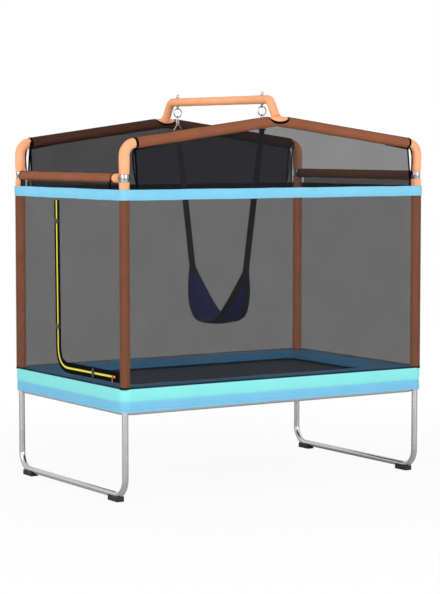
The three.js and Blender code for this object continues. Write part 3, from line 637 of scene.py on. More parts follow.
for where, long_side, quarter in SECTORS:
    sector = piece(
        f"mat_sector_{where}",
        [turned(mat_sector(long_side), quarter)],
        [mat_weave, black_webbing],
        None,
        sharp=60,
    )
    dish(sector)
    # A triangle on the short sides; on the long ones its tip is cut off by the mat's middle line.
    hem, inner = (MAT_HALF_X, MAT_HALF_X - MAT_HALF_Y) if long_side else (MAT_HALF_Y, 0)
    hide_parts("jumping_mat")

# ------------------------------------------------------------------ springs
# Close-wound coils of 2.2 mm zinc-coated steel wire, hooked into the upper rail and into wire
# triangles in the mat's hem.

spring_wire = bright_steel("zinc_spring_wire", "b3b6ba", 0.3, 0.06)


def grown(name, tree, values):
    """A plain mesh object from a Geometry Nodes tree and the values of its named inputs."""
    mesh = bpy.data.meshes.new(name + "_seed")
    seed = bpy.data.objects.new(name + "_seed", mesh)
    scene.collection.objects.link(seed)
    modifier = seed.modifiers.new("grow", "NODES")
    modifier.node_group = tree
    for item in tree.interface.items_tree:
        if item.item_type == "SOCKET" and item.in_out == "INPUT" and item.name in values:
            modifier[item.identifier] = values[item.name]
    graph = bpy.context.evaluated_depsgraph_get()
    result = bpy.data.meshes.new_from_object(seed.evaluated_get(graph), depsgraph=graph)
    bpy.data.objects.remove(seed)
    result.name = name
    made = bpy.data.objects.new(name, result)
    scene.collection.objects.link(made)
    return made


def new_tree(name, inputs):
    """An empty Geometry Nodes tree with named number inputs, and its input and output nodes."""
    tree = bpy.data.node_groups.new(name, "GeometryNodeTree")
    for label, (kind, value) in inputs.items():
        socket = tree.interface.new_socket(name=label, in_out="INPUT", socket_type=kind)
        socket.default_value = value
    tree.interface.new_socket(name="Geometry", in_out="OUTPUT", socket_type="NodeSocketGeometry")
    return tree, add_node(tree, "NodeGroupInput"), add_node(tree, "NodeGroupOutput")


def spring_row_tree():
    """A row of coils along X, each one running along +Y from the mat to the rail."""
    tree, given, out = new_tree(
        "spring_row",
        {
            "Count": ("NodeSocketInt", 11),
            "Half Row": ("NodeSocketFloat", 0.7),
            "From": ("NodeSocketFloat", 0.46),
            "Coil Length": ("NodeSocketFloat", 0.06),
            "Coil Radius": ("NodeSocketFloat", 0.0062),
            "Wire Radius": ("NodeSocketFloat", 0.0011),
            "Turns": ("NodeSocketFloat", 17.0),
            "Height": ("NodeSocketFloat", 0.536),
        },
    )
    coil = add_node(
        tree,
        "GeometryNodeCurveSpiral",
        {
            "Resolution": 12,
            "Rotations": given.outputs["Turns"],
            "Start Radius": given.outputs["Coil Radius"],
            "End Radius": given.outputs["Coil Radius"],
            "Height": given.outputs["Coil Length"],
        },
    )
    wire = add_node(
        tree, "GeometryNodeCurvePrimitiveCircle", {"Resolution": 5, "Radius": given.outputs["Wire Radius"]}
    )
    body = add_node(
        tree,
        "GeometryNodeCurveToMesh",
        {"Curve": coil.outputs["Curve"], "Profile Curve": wire.outputs["Curve"], "Fill Caps": True},
    )
    laid = add_node(
        tree, "GeometryNodeTransform", {"Geometry": body.outputs[0], "Rotation": (-math.pi / 2, 0, 0)}
    )
    negative = add_node(tree, "ShaderNodeMath", {0: given.outputs["Half Row"], 1: -1.0}, operation="MULTIPLY")
    first = add_node(
        tree,
        "ShaderNodeCombineXYZ",
        {"X": negative.outputs[0], "Y": given.outputs["From"], "Z": given.outputs["Height"]},
    )
    last = add_node(
        tree,
        "ShaderNodeCombineXYZ",
        {"X": given.outputs["Half Row"], "Y": given.outputs["From"], "Z": given.outputs["Height"]},
    )
    row = add_node(
        tree,
        "GeometryNodeMeshLine",
        {"Count": given.outputs["Count"], "Start Location": first.outputs[0], "Offset": last.outputs[0]},
        mode="END_POINTS",
    )
    many = add_node(
        tree, "GeometryNodeInstanceOnPoints", {"Points": row.outputs[0], "Instance": laid.outputs[0]}
    )
    real = add_node(tree, "GeometryNodeRealizeInstances", {"Geometry": many.outputs[0]})
    coat = add_node(tree, "GeometryNodeSetMaterial", {"Geometry": real.outputs[0], "Material": spring_wire})
    tree.links.new(coat.outputs[0], out.inputs[0])
    return tree


def join(kept, other):
    """Join the other object's mesh to the kept one."""
    both = [kept, other]
    with bpy.context.temp_override(active_object=kept, selected_editable_objects=both, selected_objects=both):
        bpy.ops.object.join()


spring_tree = spring_row_tree()
for where, long_side, quarter in SECTORS:
    own = MAT_HALF_Y if long_side else MAT_HALF_X
    other = (MAT_HALF_X if long_side else MAT_HALF_Y) - 0.09
    count = 11 if long_side else 6
    coils = grown(
        "coil_springs_" + where, spring_tree, {"Count": count, "Half Row": other, "From": own + 0.022}
    )
    hooks = []
    for k in range(count):
        x = other * (2 * k / (count - 1) - 1)
        y0, y1 = own - 0.006, own + 0.016
        triangle = [(x - 0.016, y0, MAT_Z), (x + 0.016, y0, MAT_Z), (x, y1, MAT_Z)]
        loop = finely(triangle + triangle[:1], 0.004)[:-1]
        hooks.append(tube(loop, 0.0015, (0, 0, 1), sides=6, closed=True))
        inner = [(x, own + 0.013, MAT_Z - 0.004), (x, own + 0.016, MAT_Z - 0.0045)]
        inner += [(x, own + 0.0205, MAT_Z - 0.003), (x, own + 0.024, MAT_Z)]
        hooks.append(tube(inner, 0.0011, (1, 0, 0), sides=6))
        outer = [(x, own + 0.080, MAT_Z), (x, own + 0.088, MAT_Z), (x, own + 0.0975, MAT_Z - 0.001)]
        hooks.append(tube(outer, 0.0011, (1, 0, 0), sides=6))
    hook_piece = piece("hooks_" + where, hooks, [spring_wire], None)
    join(coils, hook_piece)
    turn = quarter * math.pi / 2
    spin = np.array([[math.cos(turn), -math.sin(turn), 0], [math.sin(turn), math.cos(turn), 0], [0, 0, 1]])
    coords = np.array([v.co for v in coils.data.vertices]) @ spin.T
    coils.data.vertices.foreach_set("co", coords.ravel())
    coils.data.shade_smooth()
    coils.data.update()
    dish(coils)
    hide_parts("springs")

# ------------------------------------------------------------------ padded frame cover
# Closed-cell foam boards in welded PVC sheet: a blue top that rises from the well's edge, mitred
# at the corners, with the teal of the side welded to its outer edge.

PAD_LOW = 0.5466
PAD_OUT_X, PAD_OUT_Y, PAD_OUT_CORNER = 0.9322, 0.5842, 0.0472
WELL_X, WELL_Y, WELL_CORNER = 0.725, 0.365, 0.030


def coated_vinyl(name, colour, rough, crease=0.35):
    """PVC-coated sheet: a soft plastic gloss, long shallow creases from folding, and a fine
    pebble left by the embossing roller."""
    made, tree, shader = new_finish(name)
    shader.inputs["IOR"].default_value = 1.5
    place = add_node(tree, "ShaderNodeTexCoord").outputs["Object"]
    pebble = add_node(tree, "ShaderNodeTexVoronoi", {"Vector": place, "Scale": 420})
    folds = add_node(
        tree, "ShaderNodeTexNoise", {"Vector": place, "Scale": 7, "Detail": 4, "Roughness": 0.45}
    )
    height = add_node(
        tree,
        "ShaderNodeMath",
        {0: pebble.outputs["Distance"], 1: 0.05, 2: folds.outputs["Fac"]},
        operation="MULTIPLY_ADD",
    )
    bump = add_node(
        tree, "ShaderNodeBump", {"Height": height.outputs[0], "Strength": crease, "Distance": 0.006}
    )
    tree.links.new(bump.outputs[0], shader.inputs["Normal"])
    worn = add_node(
        tree,
        "ShaderNodeMapRange",
        {"Value": folds.outputs["Fac"], "To Min": rough - 0.1, "To Max": rough + 0.1},
    )
    tree.links.new(worn.outputs[0], shader.inputs["Roughness"])
    # The colour follows the folds, a little darker in their hollows and lighter on their crests: painted
    # shade and light.
    tone = add_node(tree, "ShaderNodeValToRGB", {"Fac": folds.outputs["Fac"]})
    tone.color_ramp.elements[0].color = [c * 0.94 for c in linear(colour)[:3]] + [1]
    tone.color_ramp.elements[1].color = [min(1, c * 1.04) for c in linear(colour)[:3]] + [1]
    tree.links.new(tone.outputs["Color"], shader.inputs["Base Color"])
    return made


teal_vinyl = coated_vinyl("teal_coated_vinyl", "87e8e4", 0.5)
blue_vinyl = coated_vinyl("sky_blue_coated_vinyl", "74c2e5", 0.5)
top_vinyl = coated_vinyl("blue_coated_vinyl", "3f9fd6", 0.45)


def rounded_outline(half_x, half_y, corner, side_steps=(60, 36), corner_steps=10):
    """Points and outward normals round a rectangle with rounded corners, from +X, anticlockwise."""
    points, normals = [], []
    inner_x, inner_y = half_x - corner, half_y - corner
    for quarter, (cx, cy) in enumerate(((1, 1), (-1, 1), (-1, -1), (1, -1))):
        for k in range(corner_steps + 1):
            a = (quarter + k / corner_steps) * math.pi / 2
            normals.append((math.cos(a), math.sin(a)))
            points.append((cx * inner_x + corner * math.cos(a), cy * inner_y + corner * math.sin(a)))
        nx, ny = ((-1, 1), (-1, -1), (1, -1), (1, 1))[quarter]
        steps = side_steps[0] if quarter % 2 == 0 else side_steps[1]
        start = points[-1]
        end_corner = ((-1, 1), (-1, -1), (1, -1), (1, 1))[quarter]
        a = (quarter + 1) * math.pi / 2
        goal = (
            end_corner[0] * inner_x + corner * math.cos(a),
            end_corner[1] * inner_y + corner * math.sin(a),
        )
        for k in range(1, steps):
            t = k / steps
            points.append((start[0] + (goal[0] - start[0]) * t, start[1] + (goal[1] - start[1]) * t))
            normals.append((math.cos(a), math.sin(a)))
    return np.array(points), np.array(normals)


def hoop(sections, materials):
    """A closed skin from closed cross-sections round a ring, one material for each band of faces."""
    count, width = len(sections), len(sections[0])
    points = np.array([p for row in sections for p in row], float)
    faces, uvs, finish = [], [], []
    run = 0.0
    for i in range(count):
        n = (i + 1) % count
        step = float(np.linalg.norm(np.subtract(sections[n][0], sections[i][0])))
        climb = 0.0
        for k in range(width):
            m = (k + 1) % width
            rise = float(np.linalg.norm(np.subtract(sections[i][m], sections[i][k])))
            faces.append([i * width + k, n * width + k, n * width + m, i * width + m])
            uvs.append([(run, climb), (run + step, climb), (run + step, climb + rise), (run, climb + rise)])
            finish.append(materials[k])
            climb += rise
        run += step
    return points, faces, uvs, finish


def pad_shape():
    """The cover as one hoop: its crowned top, the welded corner mitres and the flat underside."""
    outer, normals = rounded_outline(PAD_OUT_X, PAD_OUT_Y, PAD_OUT_CORNER)
    inner, _ = rounded_outline(WELL_X, WELL_Y, WELL_CORNER)
    # Share of the way from the outer to the inner edge, and height; then back underneath.
    top = [(0, 0.553), (0, 0.5602), (0.006, 0.5656), (0.02, 0.5690), (0.05, 0.5705), (0.075, 0.5709)]
    top += [(0.081, 0.5700), (0.087, 0.5707), (0.2, 0.5718), (0.4, 0.5726), (0.6, 0.5722), (0.75, 0.5708)]
    top += [(0.85, 0.5676), (0.93, 0.5622), (0.975, 0.5568), (0.995, 0.5515), (1.0, 0.5490)]
    under = [(0.995, 0.5472), (0.97, PAD_LOW), (0.7, PAD_LOW), (0.4, PAD_LOW), (0.1, PAD_LOW), (0.01, 0.5468)]
    profile = top + under
    teal_until = 2
    materials = [1 if k < teal_until else 0 for k in range(len(top))] + [0] * (len(under) - 1) + [1]
    rng = np.random.default_rng(11)
    phases = rng.uniform(0, 2 * math.pi, 6)
    # How far the middle of the corner's arc lies inside the sharp corner, along X and along Y.
    inset = PAD_OUT_CORNER * 0.2929
    sections = []
    for a, b in zip(outer, inner):
        from_mitre = abs(abs(a[0]) - PAD_OUT_X + inset) + abs(abs(a[1]) - PAD_OUT_Y + inset)
        dip = 0.0022 * math.exp(-((min(from_mitre, 0.05) / 0.006) ** 2))
        row = []
        for share, z in profile:
            x, y = a + (b - a) * share
            lift = 0.0
            if z > 0.56:
                slack = math.sin(9 * x + phases[0]) + math.sin(13 * y + phases[1])
                slack += 0.6 * math.sin(31 * x + 7 * y + phases[2])
                lift = 0.0009 * slack * min(1, (z - 0.56) / 0.01) - dip
            row.append((x, y, z + lift))
        sections.append(row)
    return hoop(sections, materials)


cover = piece("padded_frame_cover", [pad_shape()], [top_vinyl, teal_vinyl], "frame", sharp=50)
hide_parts("frame_pad")

# ------------------------------------------------------------------ cover skirt
# The cover's side: a teal vinyl band stiffened by the foam's edge, sewn to a sky-blue vinyl skirt
# that hangs over the rails and ends in a turned hem.

SKIRT_X, SKIRT_Y, SKIRT_CORNER = 0.935, 0.587, 0.050
SEAM_Z, SKIRT_DROP = 0.5052, 0.118


def skirt_shape():
    """The band and the skirt below it as one hoop, with a tucked seam, a hem and a slight sway."""
    outline, normals = rounded_outline(SKIRT_X, SKIRT_Y, SKIRT_CORNER, (120, 72), 12)
    # Distance out from the nominal face, and height, down the outside and back up the inside.
    outside = [(-0.0060, 0.5708), (-0.0035, 0.5702), (-0.0013, 0.5682), (0, 0.5645), (0.0006, 0.556)]
    outside += [(0.0012, 0.540), (0.0010, 0.522), (0.0002, 0.511), (-0.0010, 0.5075), (-0.0024, SEAM_Z)]
    outside += [(-0.0020, 0.5035), (-0.0012, 0.500), (-0.0008, 0.488), (-0.0005, 0.474), (-0.0004, 0.4645)]
    outside += [(-0.0010, 0.4630), (-0.0003, 0.4615), (-0.0002, 0.4545), (-0.0006, 0.4532)]
    inside = [(-0.0022, 0.4532), (-0.0025, 0.4630), (-0.0024, 0.488), (-0.0036, SEAM_Z)]
    inside += [(-0.0024, 0.522), (-0.0024, 0.545), (-0.0026, 0.5600)]
    profile = outside + inside
    seam = 9
    materials = [0 if k < seam else 1 for k in range(len(outside))]
    materials += [1] * 3 + [0] * (len(inside) - 3)
    run = np.concatenate([[0], np.cumsum(np.linalg.norm(np.diff(outline, axis=0), axis=1))])
    total = run[-1] + float(np.linalg.norm(outline[0] - outline[-1]))
    rng = np.random.default_rng(5)
    spans = ((0.31, 1.0), (0.17, 0.7), (0.083, 0.35))
    waves = [(round(total / span), rng.uniform(0, 6.28), size) for span, size in spans]
    sections = []
    for (x, y), (nx, ny), s in zip(outline, normals, run):
        sway = sum(size * math.sin(2 * math.pi * n * s / total + phase) for n, phase, size in waves)
        row = []
        for out, z in profile:
            free = max(0, min(1, (SEAM_Z - z) / 0.055))
            firm = 0.0003 if 0.508 < z < 0.566 else 0
            shift = out + 0.0013 * free * sway - 0.001 * free + firm * sway
            row.append((x + nx * shift, y + ny * shift, z + 0.0008 * free * math.sin(2.3 * sway)))
        sections.append(row)
    return hoop(sections, materials)


skirt = piece("cover_skirt", [skirt_shape()], [teal_vinyl, blue_vinyl], "frame", sharp=50)
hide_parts("pad_skirt")

# ------------------------------------------------------------------ corner poles
# Galvanised tube poles in slit foam tubes. Each foam wears a sewn brown polyester sleeve with one
# lengthwise seam, and a pressed steel collar at the top takes the end beam and the arch.

COLLAR_RADIUS, COLLAR_LOW, COLLAR_HIGH, BEAM_Z = 0.022, 1.586, 1.624, 1.604
FOAM_LOW, FOAM_RADIUS, FOAM_HIGH = 0.5713, 0.0265, 1.5852
SLEEVE_HIGH, POLE_SLEEVE_RADIUS = 1.544, FOAM_RADIUS - 0.0008
FOAM_BORE = TUBE_RADIUS + 0.0004
CORNERS = [(end, sx, side, sy) for end, sx in ENDS for side, sy in SIDES]
brown_sleeve = woven_cloth("brown_polyester_sleeve", "94573a", 0.0024, 0.85, 0.07, 0.3, 0.0, gloss=0.3)
# The poles' sleeves stand behind the net. Their cloth is the same brown, painted lighter to make up for the
# light that the net takes from them.
pole_sleeve_cloth_painted_lighter = woven_cloth("brown_sleeve_painted_lighter", "ec9368", 0.0024, 0.85, 0.07, 0.3, 0.0)
black_binding = woven_cloth("black_binding_tape", "08080a", 0.0018, 0.9, 0.05, 0.4, 0.0, gloss=0.05)

foam_orange, tree, shader = new_finish("orange_knit_over_foam")
# A brushed knit cover on foam: bright peach orange, dull, with small pills and a soft mottling.
shader.inputs["Roughness"].default_value = 0.85
shader.inputs["Sheen Weight"].default_value = 0.3
shader.inputs["Sheen Roughness"].default_value = 0.5
shader.inputs["Sheen Tint"].default_value = linear("ffa868")
place = add_node(tree, "ShaderNodeTexCoord").outputs["Object"]
pills = add_node(tree, "ShaderNodeTexNoise", {"Vector": place, "Scale": 260, "Detail": 4})
cloud = add_node(tree, "ShaderNodeTexNoise", {"Vector": place, "Scale": 14, "Detail": 4})
tone = add_node(tree, "ShaderNodeValToRGB", {"Fac": cloud.outputs["Fac"]})
tone.color_ramp.elements[0].color = linear("fba979")
tone.color_ramp.elements[1].color = linear("ffb384")
tone.color_ramp.elements[0].position, tone.color_ramp.elements[1].position = 0.3, 0.7
tree.links.new(tone.outputs["Color"], shader.inputs["Base Color"])
bump = add_node(
    tree, "ShaderNodeBump", {"Height": pills.outputs["Fac"], "Strength": 0.35, "Distance": 0.0008}
)
tree.links.new(bump.outputs[0], shader.inputs["Normal"])


def puckered(seed, amount=0.0007, seam_at=0.0, lengths=(0.23, 0.11, 0.06)):
    """Relief of a sewn sleeve over foam: slack rings that fade round the tube, and a pulled seam."""
    rng = np.random.default_rng(seed)
    parts = [(2 * math.pi / span, rng.uniform(0, 6.28), rng.uniform(0, 6.28)) for span in lengths]

    def relief(angle, length):
        total = 0.0
        for n, (rate, phase, turn) in enumerate(parts):
            total = total + np.sin(rate * length + phase + np.sin(angle + turn)) / (n + 1)
        seam = np.exp(-(((angle - seam_at + math.pi) % (2 * math.pi) - math.pi) ** 2) / 0.006)
        stitch = 1 + 0.35 * np.sin(2 * math.pi * length / 0.012)
        return amount * total - 0.0011 * seam * stitch

    return relief


def lip(point, axis, ring, thick=0.0013):
    """The turned binding at a sleeve's end."""
    return placed(bead(point, axis, ring, thick), 1)


def end_tape(start, stop, ring, bore):
    """Flat black tape sewn round a sleeve's end, from start to stop along the sleeve's axis."""
    across = (1, 0, 0) if abs(start[0] - stop[0]) < 1e-6 else (0, 1, 0)
    line = finely([start, stop], 0.0025)
    soft = [ring + (0.0013 if k in (0, len(line) - 1) else 0.0021) for k in range(len(line))]
    return placed(tube(line, soft, across, bore=bore, sides=40), 1)


pole_shape = tube(
    [(CORNER_X, CORNER_Y, z) for z in (LEG_TOP_Z + FIT_GAP, COLLAR_LOW + 0.0002)],
    TUBE_RADIUS,
    (1, 0, 0),
    bore=TUBE_BORE,
)
# Height and radius up the collar: rolled ends, and a rib pressed round its middle.
collar_profile = [(COLLAR_LOW, 0.0205), (COLLAR_LOW + 0.001, 0.0216), (COLLAR_LOW + 0.004, COLLAR_RADIUS)]
collar_profile += [(1.602, COLLAR_RADIUS), (1.6045, 0.0228), (1.607, COLLAR_RADIUS)]
collar_profile += [(COLLAR_HIGH - 0.004, COLLAR_RADIUS), (COLLAR_HIGH - 0.001, 0.0216), (COLLAR_HIGH, 0.0207)]
collar_shape = tube(
    [(CORNER_X, CORNER_Y, z) for z, _ in collar_profile],
    [radius for _, radius in collar_profile],
    (1, 0, 0),
    bore=FOAM_BORE,
)
stub_shape = tube(
    [(CORNER_X, CORNER_Y - y, BEAM_Z) for y in (0.0205, 0.024, 0.077)], 0.013, (1, 0, 0), bore=0.0112
)
screw_line = [(CORNER_X + x, CORNER_Y, 1.6125) for x in (0.021, 0.0235, 0.0245)]
screw_shape = tube(screw_line, [0.0042, 0.004, 0.0025], (0, 1, 0), sides=12)
collar_steel = bright_steel("pressed_zinc_collar", "a6a7ab", 0.22, 0.08)

for corner, (end, sx, side, sy) in enumerate(CORNERS):
    flip = (sx, sy, 1)
    parts = [placed(pole_shape, 0, flip)]
    parts += [placed(shape, 1, flip) for shape in (collar_shape, stub_shape, screw_shape)]
    pole = piece(f"pole_with_collar_{end}_{side}", parts, [leg_steel, collar_steel], "frame")
    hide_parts(f"corner_pole_{end}_{side}")
    column = finely([(CORNER_X, CORNER_Y, FOAM_LOW), (CORNER_X, CORNER_Y, SLEEVE_HIGH)], 0.02)
    top = finely([(CORNER_X, CORNER_Y, SLEEVE_HIGH + 0.0004), (CORNER_X, CORNER_Y, FOAM_HIGH)], 0.01)
    bare = tube(top, POLE_SLEEVE_RADIUS, (1, 0, 0), bore=FOAM_BORE, sides=40)
    # The seam runs up the side that faces the play space.
    body = tube(
        column,
        POLE_SLEEVE_RADIUS,
        (1, 0, 0),
        bore=FOAM_BORE,
        sides=40,
        relief=puckered(corner, 0.0005, 3.9),
    )
    rims = (FOAM_LOW + 0.0015, SLEEVE_HIGH)
    ends = [lip((CORNER_X, CORNER_Y, z), (0, 0, 1), FOAM_RADIUS - 0.0014) for z in rims]
    foam = piece(
        f"pole_sleeve_{end}_{side}",
        [placed(shape, mirror=flip) for shape in [body, placed(bare, 2)] + ends],
        [pole_sleeve_cloth_painted_lighter, black_binding, foam_orange],
        "frame",
        sharp=50,
    )
    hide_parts(f"pole_foam_{end}_{side}")

# ------------------------------------------------------------------ end beams
# Straight tubes pushed over the collars' stubs, in the same brown sleeves. At the far pole of the
# door's end the sleeve runs on round the pole; elsewhere orange foam shows beyond its rim.

BEAM_SLEEVE_RADIUS, BEAM_SLEEVE_HALF, SHORT_SLEEVE_HALF = 0.0245, 0.529, 0.470
BAND_HIGH = 1.549


def round_pole(first, last, ring, material):
    """Cloth on the rear pole's foam between the band and the collar, from one angle to another."""
    rows = []
    for z in (BAND_HIGH - 0.0038, 1.560, 1.575, COLLAR_LOW - 0.0006):
        arc = [math.radians(180 - first + (first - last) * k / 10) for k in range(11)]
        row = [(CORNER_X + ring * math.cos(a), CORNER_Y + ring * math.sin(a), z) for a in arc]
        inner = FOAM_RADIUS - 0.0012
        row += [(CORNER_X + inner * math.cos(a), CORNER_Y + inner * math.sin(a), z) for a in reversed(arc)]
        rows.append(row)
    return placed(loft(rows), material)


for end, sign in ENDS:
    half = CORNER_Y - COLLAR_RADIUS - 0.0004
    beam = tube([(CORNER_X, -half, BEAM_Z), (CORNER_X, half, BEAM_Z)], TUBE_RADIUS, (1, 0, 0), bore=0.0134)
    flip = (sign, 1, 1)
    beam = piece(f"end_beam_tube_{end}", [placed(beam, mirror=flip)], [leg_steel], "frame")
    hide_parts(f"end_beam_{end}")
    low, high = -SHORT_SLEEVE_HALF if end == "left" else -BEAM_SLEEVE_HALF, BEAM_SLEEVE_HALF
    cloth = finely([(CORNER_X, low, BEAM_Z), (CORNER_X, high, BEAM_Z)], 0.02)
    crown = [(CORNER_X, y, BEAM_Z + BEAM_SLEEVE_RADIUS) for y in (low + 0.004, high - 0.004)]
    shapes = [
        tube(
            cloth,
            BEAM_SLEEVE_RADIUS,
            (1, 0, 0),
            bore=FOAM_BORE,
            sides=40,
            relief=puckered(20 + sign, seam_at=4.7),
        ),
    ]
    for start, stop in ((low + 0.0004, low + 0.0090), (high - 0.0070, high - 0.0004)):
        tape = (CORNER_X, start, BEAM_Z), (CORNER_X, stop, BEAM_Z)
        shapes.append(end_tape(*tape, BEAM_SLEEVE_RADIUS, 0.0235))
    # The piping of the seam on top.
    shapes.append(placed(tube(finely(crown, 0.05), 0.0014, (1, 0, 0), sides=8), 1))
    if end == "left":
        bare = finely([(CORNER_X, -BEAM_SLEEVE_HALF, BEAM_Z), (CORNER_X, low - 0.0004, BEAM_Z)], 0.01)
        shapes.append(placed(tube(bare, 0.0236, (1, 0, 0), bore=FOAM_BORE, sides=40), 2))
        # The binding runs on down to the band at the near end; at the far end the cloth turns down
        # round the pole's inner side behind the same binding.
        tail = [(0.0245, 0.0040, BEAM_Z - 0.006), (0.0315, 0.0030, BEAM_Z - 0.024)]
        tail += [(0.0330, 0.0010, BEAM_Z - 0.040), (0.0325, 0, BAND_HIGH + 0.0005)]
        tail = [(CORNER_X + out, low + inward, z) for out, inward, z in tail]
        shapes.append(placed(tube(tail, 0.0042, (0, 1, 0), sides=10), 1))
        shapes.append(round_pole(262, 340, FOAM_RADIUS + 0.0010, 0))
        shapes.append(round_pole(248, 262, FOAM_RADIUS + 0.0018, 1))
    sleeve = piece(
        f"end_beam_sleeve_{end}",
        [placed(shape, mirror=flip) for shape in shapes],
        [brown_sleeve, black_binding, foam_orange],
        "frame",
        sharp=50,
    )
    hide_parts(f"beam_sleeve_{end}")

# ------------------------------------------------------------------ gable arches
# Bent tubes that rise from the collars and meet at each peak. Orange foam shows round the bends
# and in the scooped mouth at the peak; the sloping runs wear brown sleeves with black rims.

EAVE_Z, GABLE_PITCH, ARCH_BEND = 1.7688, math.radians(7.7), 0.061
PEAK_Z = EAVE_Z + CORNER_X * math.tan(GABLE_PITCH)
GABLE_RADIUS, GABLE_BORE, BEND_RADIUS = 0.0275, 0.0262, 0.0265
SLEEVE_END_X = 0.8482
SLEEVE_RIM_X = SLEEVE_END_X - 0.0004


def gable_z(x):
    """Height of the gable's axis."""
    return EAVE_Z + (CORNER_X - abs(x)) * math.tan(GABLE_PITCH)


def on_gable(x):
    """A point of the gable's axis."""
    return (x, CORNER_Y, gable_z(x))


def arch_line(foot_z, top_x, bend_steps, step):
    """The arch's axis, from a height on the pole round the bend to a place on the slope."""
    corners = [(CORNER_X, CORNER_Y, foot_z), (CORNER_X, CORNER_Y, EAVE_Z), on_gable(top_x)]
    return finely(bend_path(corners, ARCH_BEND, bend_steps), step)


arch_shape = tube(arch_line(1.6023, 0.0024, 14, 0.05), TUBE_RADIUS, (0, 1, 0), bore=TUBE_BORE)
bend_line = arch_line(COLLAR_HIGH + 0.0004, SLEEVE_END_X, 16, 0.006)
for corner, (end, sx, side, sy) in enumerate(CORNERS):
    flip = (sx, sy, 1)
    arch = piece(f"arch_{end}_{side}", [placed(arch_shape, mirror=flip)], [leg_steel], "frame")
    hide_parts(f"arch_tube_{end}_{side}")
    bend = tube(
        bend_line,
        [BEND_RADIUS - 0.0022 * math.exp(-k / 2.2) for k in range(len(bend_line))],
        (0, 1, 0),
        bore=FOAM_BORE,
        sides=44,
        relief=puckered(40 + corner, 0.0004, 1.6, (0.14, 0.05)),
    )
    bend = placed(bend, mirror=flip)
    bend = piece(f"bend_cover_{end}_{side}", [bend], [foam_orange], "frame", sharp=50)
    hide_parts(f"bend_foam_{end}_{side}")

# Each mouth is a scoop cut down over the peak: 132 mm wide and 35 mm deep, bound with 12 mm tape.
SCOOP_HALF, SCOOP_DEPTH, SCOOP_TAPE = 0.066, 0.035, 0.012


def scoop_z(x):
    """Height of the scoop's edge, from the sleeve's top line down to its floor."""
    return PEAK_Z + GABLE_RADIUS + 0.002 - SCOOP_DEPTH * math.sqrt(max(0, 1 - (x / SCOOP_HALF) ** 2))


def cut_away(base, cutter):
    """The base mesh object with the cutter's solid taken out of it; the cutter is removed."""
    modifier = base.modifiers.new("cut", "BOOLEAN")
    modifier.operation, modifier.solver, modifier.object = "DIFFERENCE", "EXACT", cutter
    graph = bpy.context.evaluated_depsgraph_get()
    result = bpy.data.meshes.new_from_object(base.evaluated_get(graph), depsgraph=graph)
    base.modifiers.remove(modifier)
    base.data = result
    bpy.data.objects.remove(cutter)
    return base


def scoop_binding(far):
    """Tape on the sleeve's skin below the scoop's edge, on its near or its far side."""
    rows = []
    for k in range(49):
        x = SCOOP_HALF * math.sin(math.pi * (k / 48 - 0.5))
        height = min(scoop_z(x) - gable_z(x), GABLE_RADIUS)
        start = math.acos(max(-1, height / GABLE_RADIUS))
        turns = [start - 0.04 + (SCOOP_TAPE / GABLE_RADIUS + 0.04) * n / 5 for n in range(6)]
        row = []
        for lift, order in ((0.0012, turns), (-0.0006, turns[::-1])):
            for a in order:
                reach = (GABLE_RADIUS + lift) * math.sin(a)
                row.append((x, CORNER_Y + reach * far, gable_z(x) + (GABLE_RADIUS + lift) * math.cos(a)))
        rows.append(row)
    return placed(loft(rows), 1)


def scoop_solid():
    """What the scoop takes out of a sleeve: all that lies above its edge."""
    edge = [SCOOP_HALF * math.sin(math.pi * (k / 24 - 0.5)) for k in range(25)]
    outline = [(x, scoop_z(x)) for x in edge] + [(SCOOP_HALF, PEAK_Z + 0.08), (-SCOOP_HALF, PEAK_Z + 0.08)]
    return loft([[(x, y, z) for x, z in outline] for y in (CORNER_Y - 0.05, CORNER_Y + 0.05)])


for side, sy in SIDES:
    line = finely([on_gable(x) for x in (SLEEVE_RIM_X, 0, -SLEEVE_RIM_X)], 0.012)
    slack = puckered(60 + sy, 0.0006, 4.7, (0.3, 0.13, 0.07))
    cloth = tube(line, GABLE_RADIUS, (0, 1, 0), bore=GABLE_BORE, sides=44, relief=slack)
    shell = piece("gable_cloth", [cloth], [brown_sleeve], None, sharp=50)
    shell = cut_away(shell, piece("scoop", [scoop_solid()], [brown_sleeve], None))
    ends = []
    for s in (1, -1):
        start, stop = on_gable(s * SLEEVE_RIM_X), on_gable(s * (SLEEVE_END_X - 0.0125))
        ends.append(end_tape(start, stop, GABLE_RADIUS, GABLE_BORE))
        # The piping of the seam on top, from the scoop to the end.
        crown = [on_gable(s * x) for x in (SCOOP_HALF + 0.004, SLEEVE_END_X - 0.006)]
        crown = [(x, y, z + GABLE_RADIUS / math.cos(GABLE_PITCH)) for x, y, z in crown]
        ends.append(placed(tube(finely(crown, 0.05), 0.0016, (0, 1, 0), sides=8), 1))
    # Foam inside the sleeve, which the scoop lays bare.
    inner = finely([on_gable(x) for x in (0.085, 0, -0.085)], 0.01)
    inner = placed(tube(inner, 0.0257, (0, 1, 0), bore=0.0202, sides=36), 2)
    trims = [scoop_binding(-1), scoop_binding(1), inner] + ends
    materials = [brown_sleeve, black_binding, foam_orange]
    trims = piece("gable_trims", trims, materials, None)
    for material in materials[1:]:
        shell.data.materials.append(material)
    shell.name = f"gable_cover_{side}"
    join(shell, trims)
    if sy < 0:
        shell.data.transform(((1, 0, 0, 0), (0, -1, 0, 0), (0, 0, 1, 0), (0, 0, 0, 1)))
        shell.data.flip_normals()
    shell.data.shade_smooth()
    shell.data.set_sharp_from_angle(angle=math.radians(50))
    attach(shell, "frame")
    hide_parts(f"gable_sleeve_{side}")

# ------------------------------------------------------------------ crossbar
# A tube bent down at both ends and welded to saddles that sit on the peaks, in orange foam that
# flares out where it meets the arches. Eye bolts pass through it.

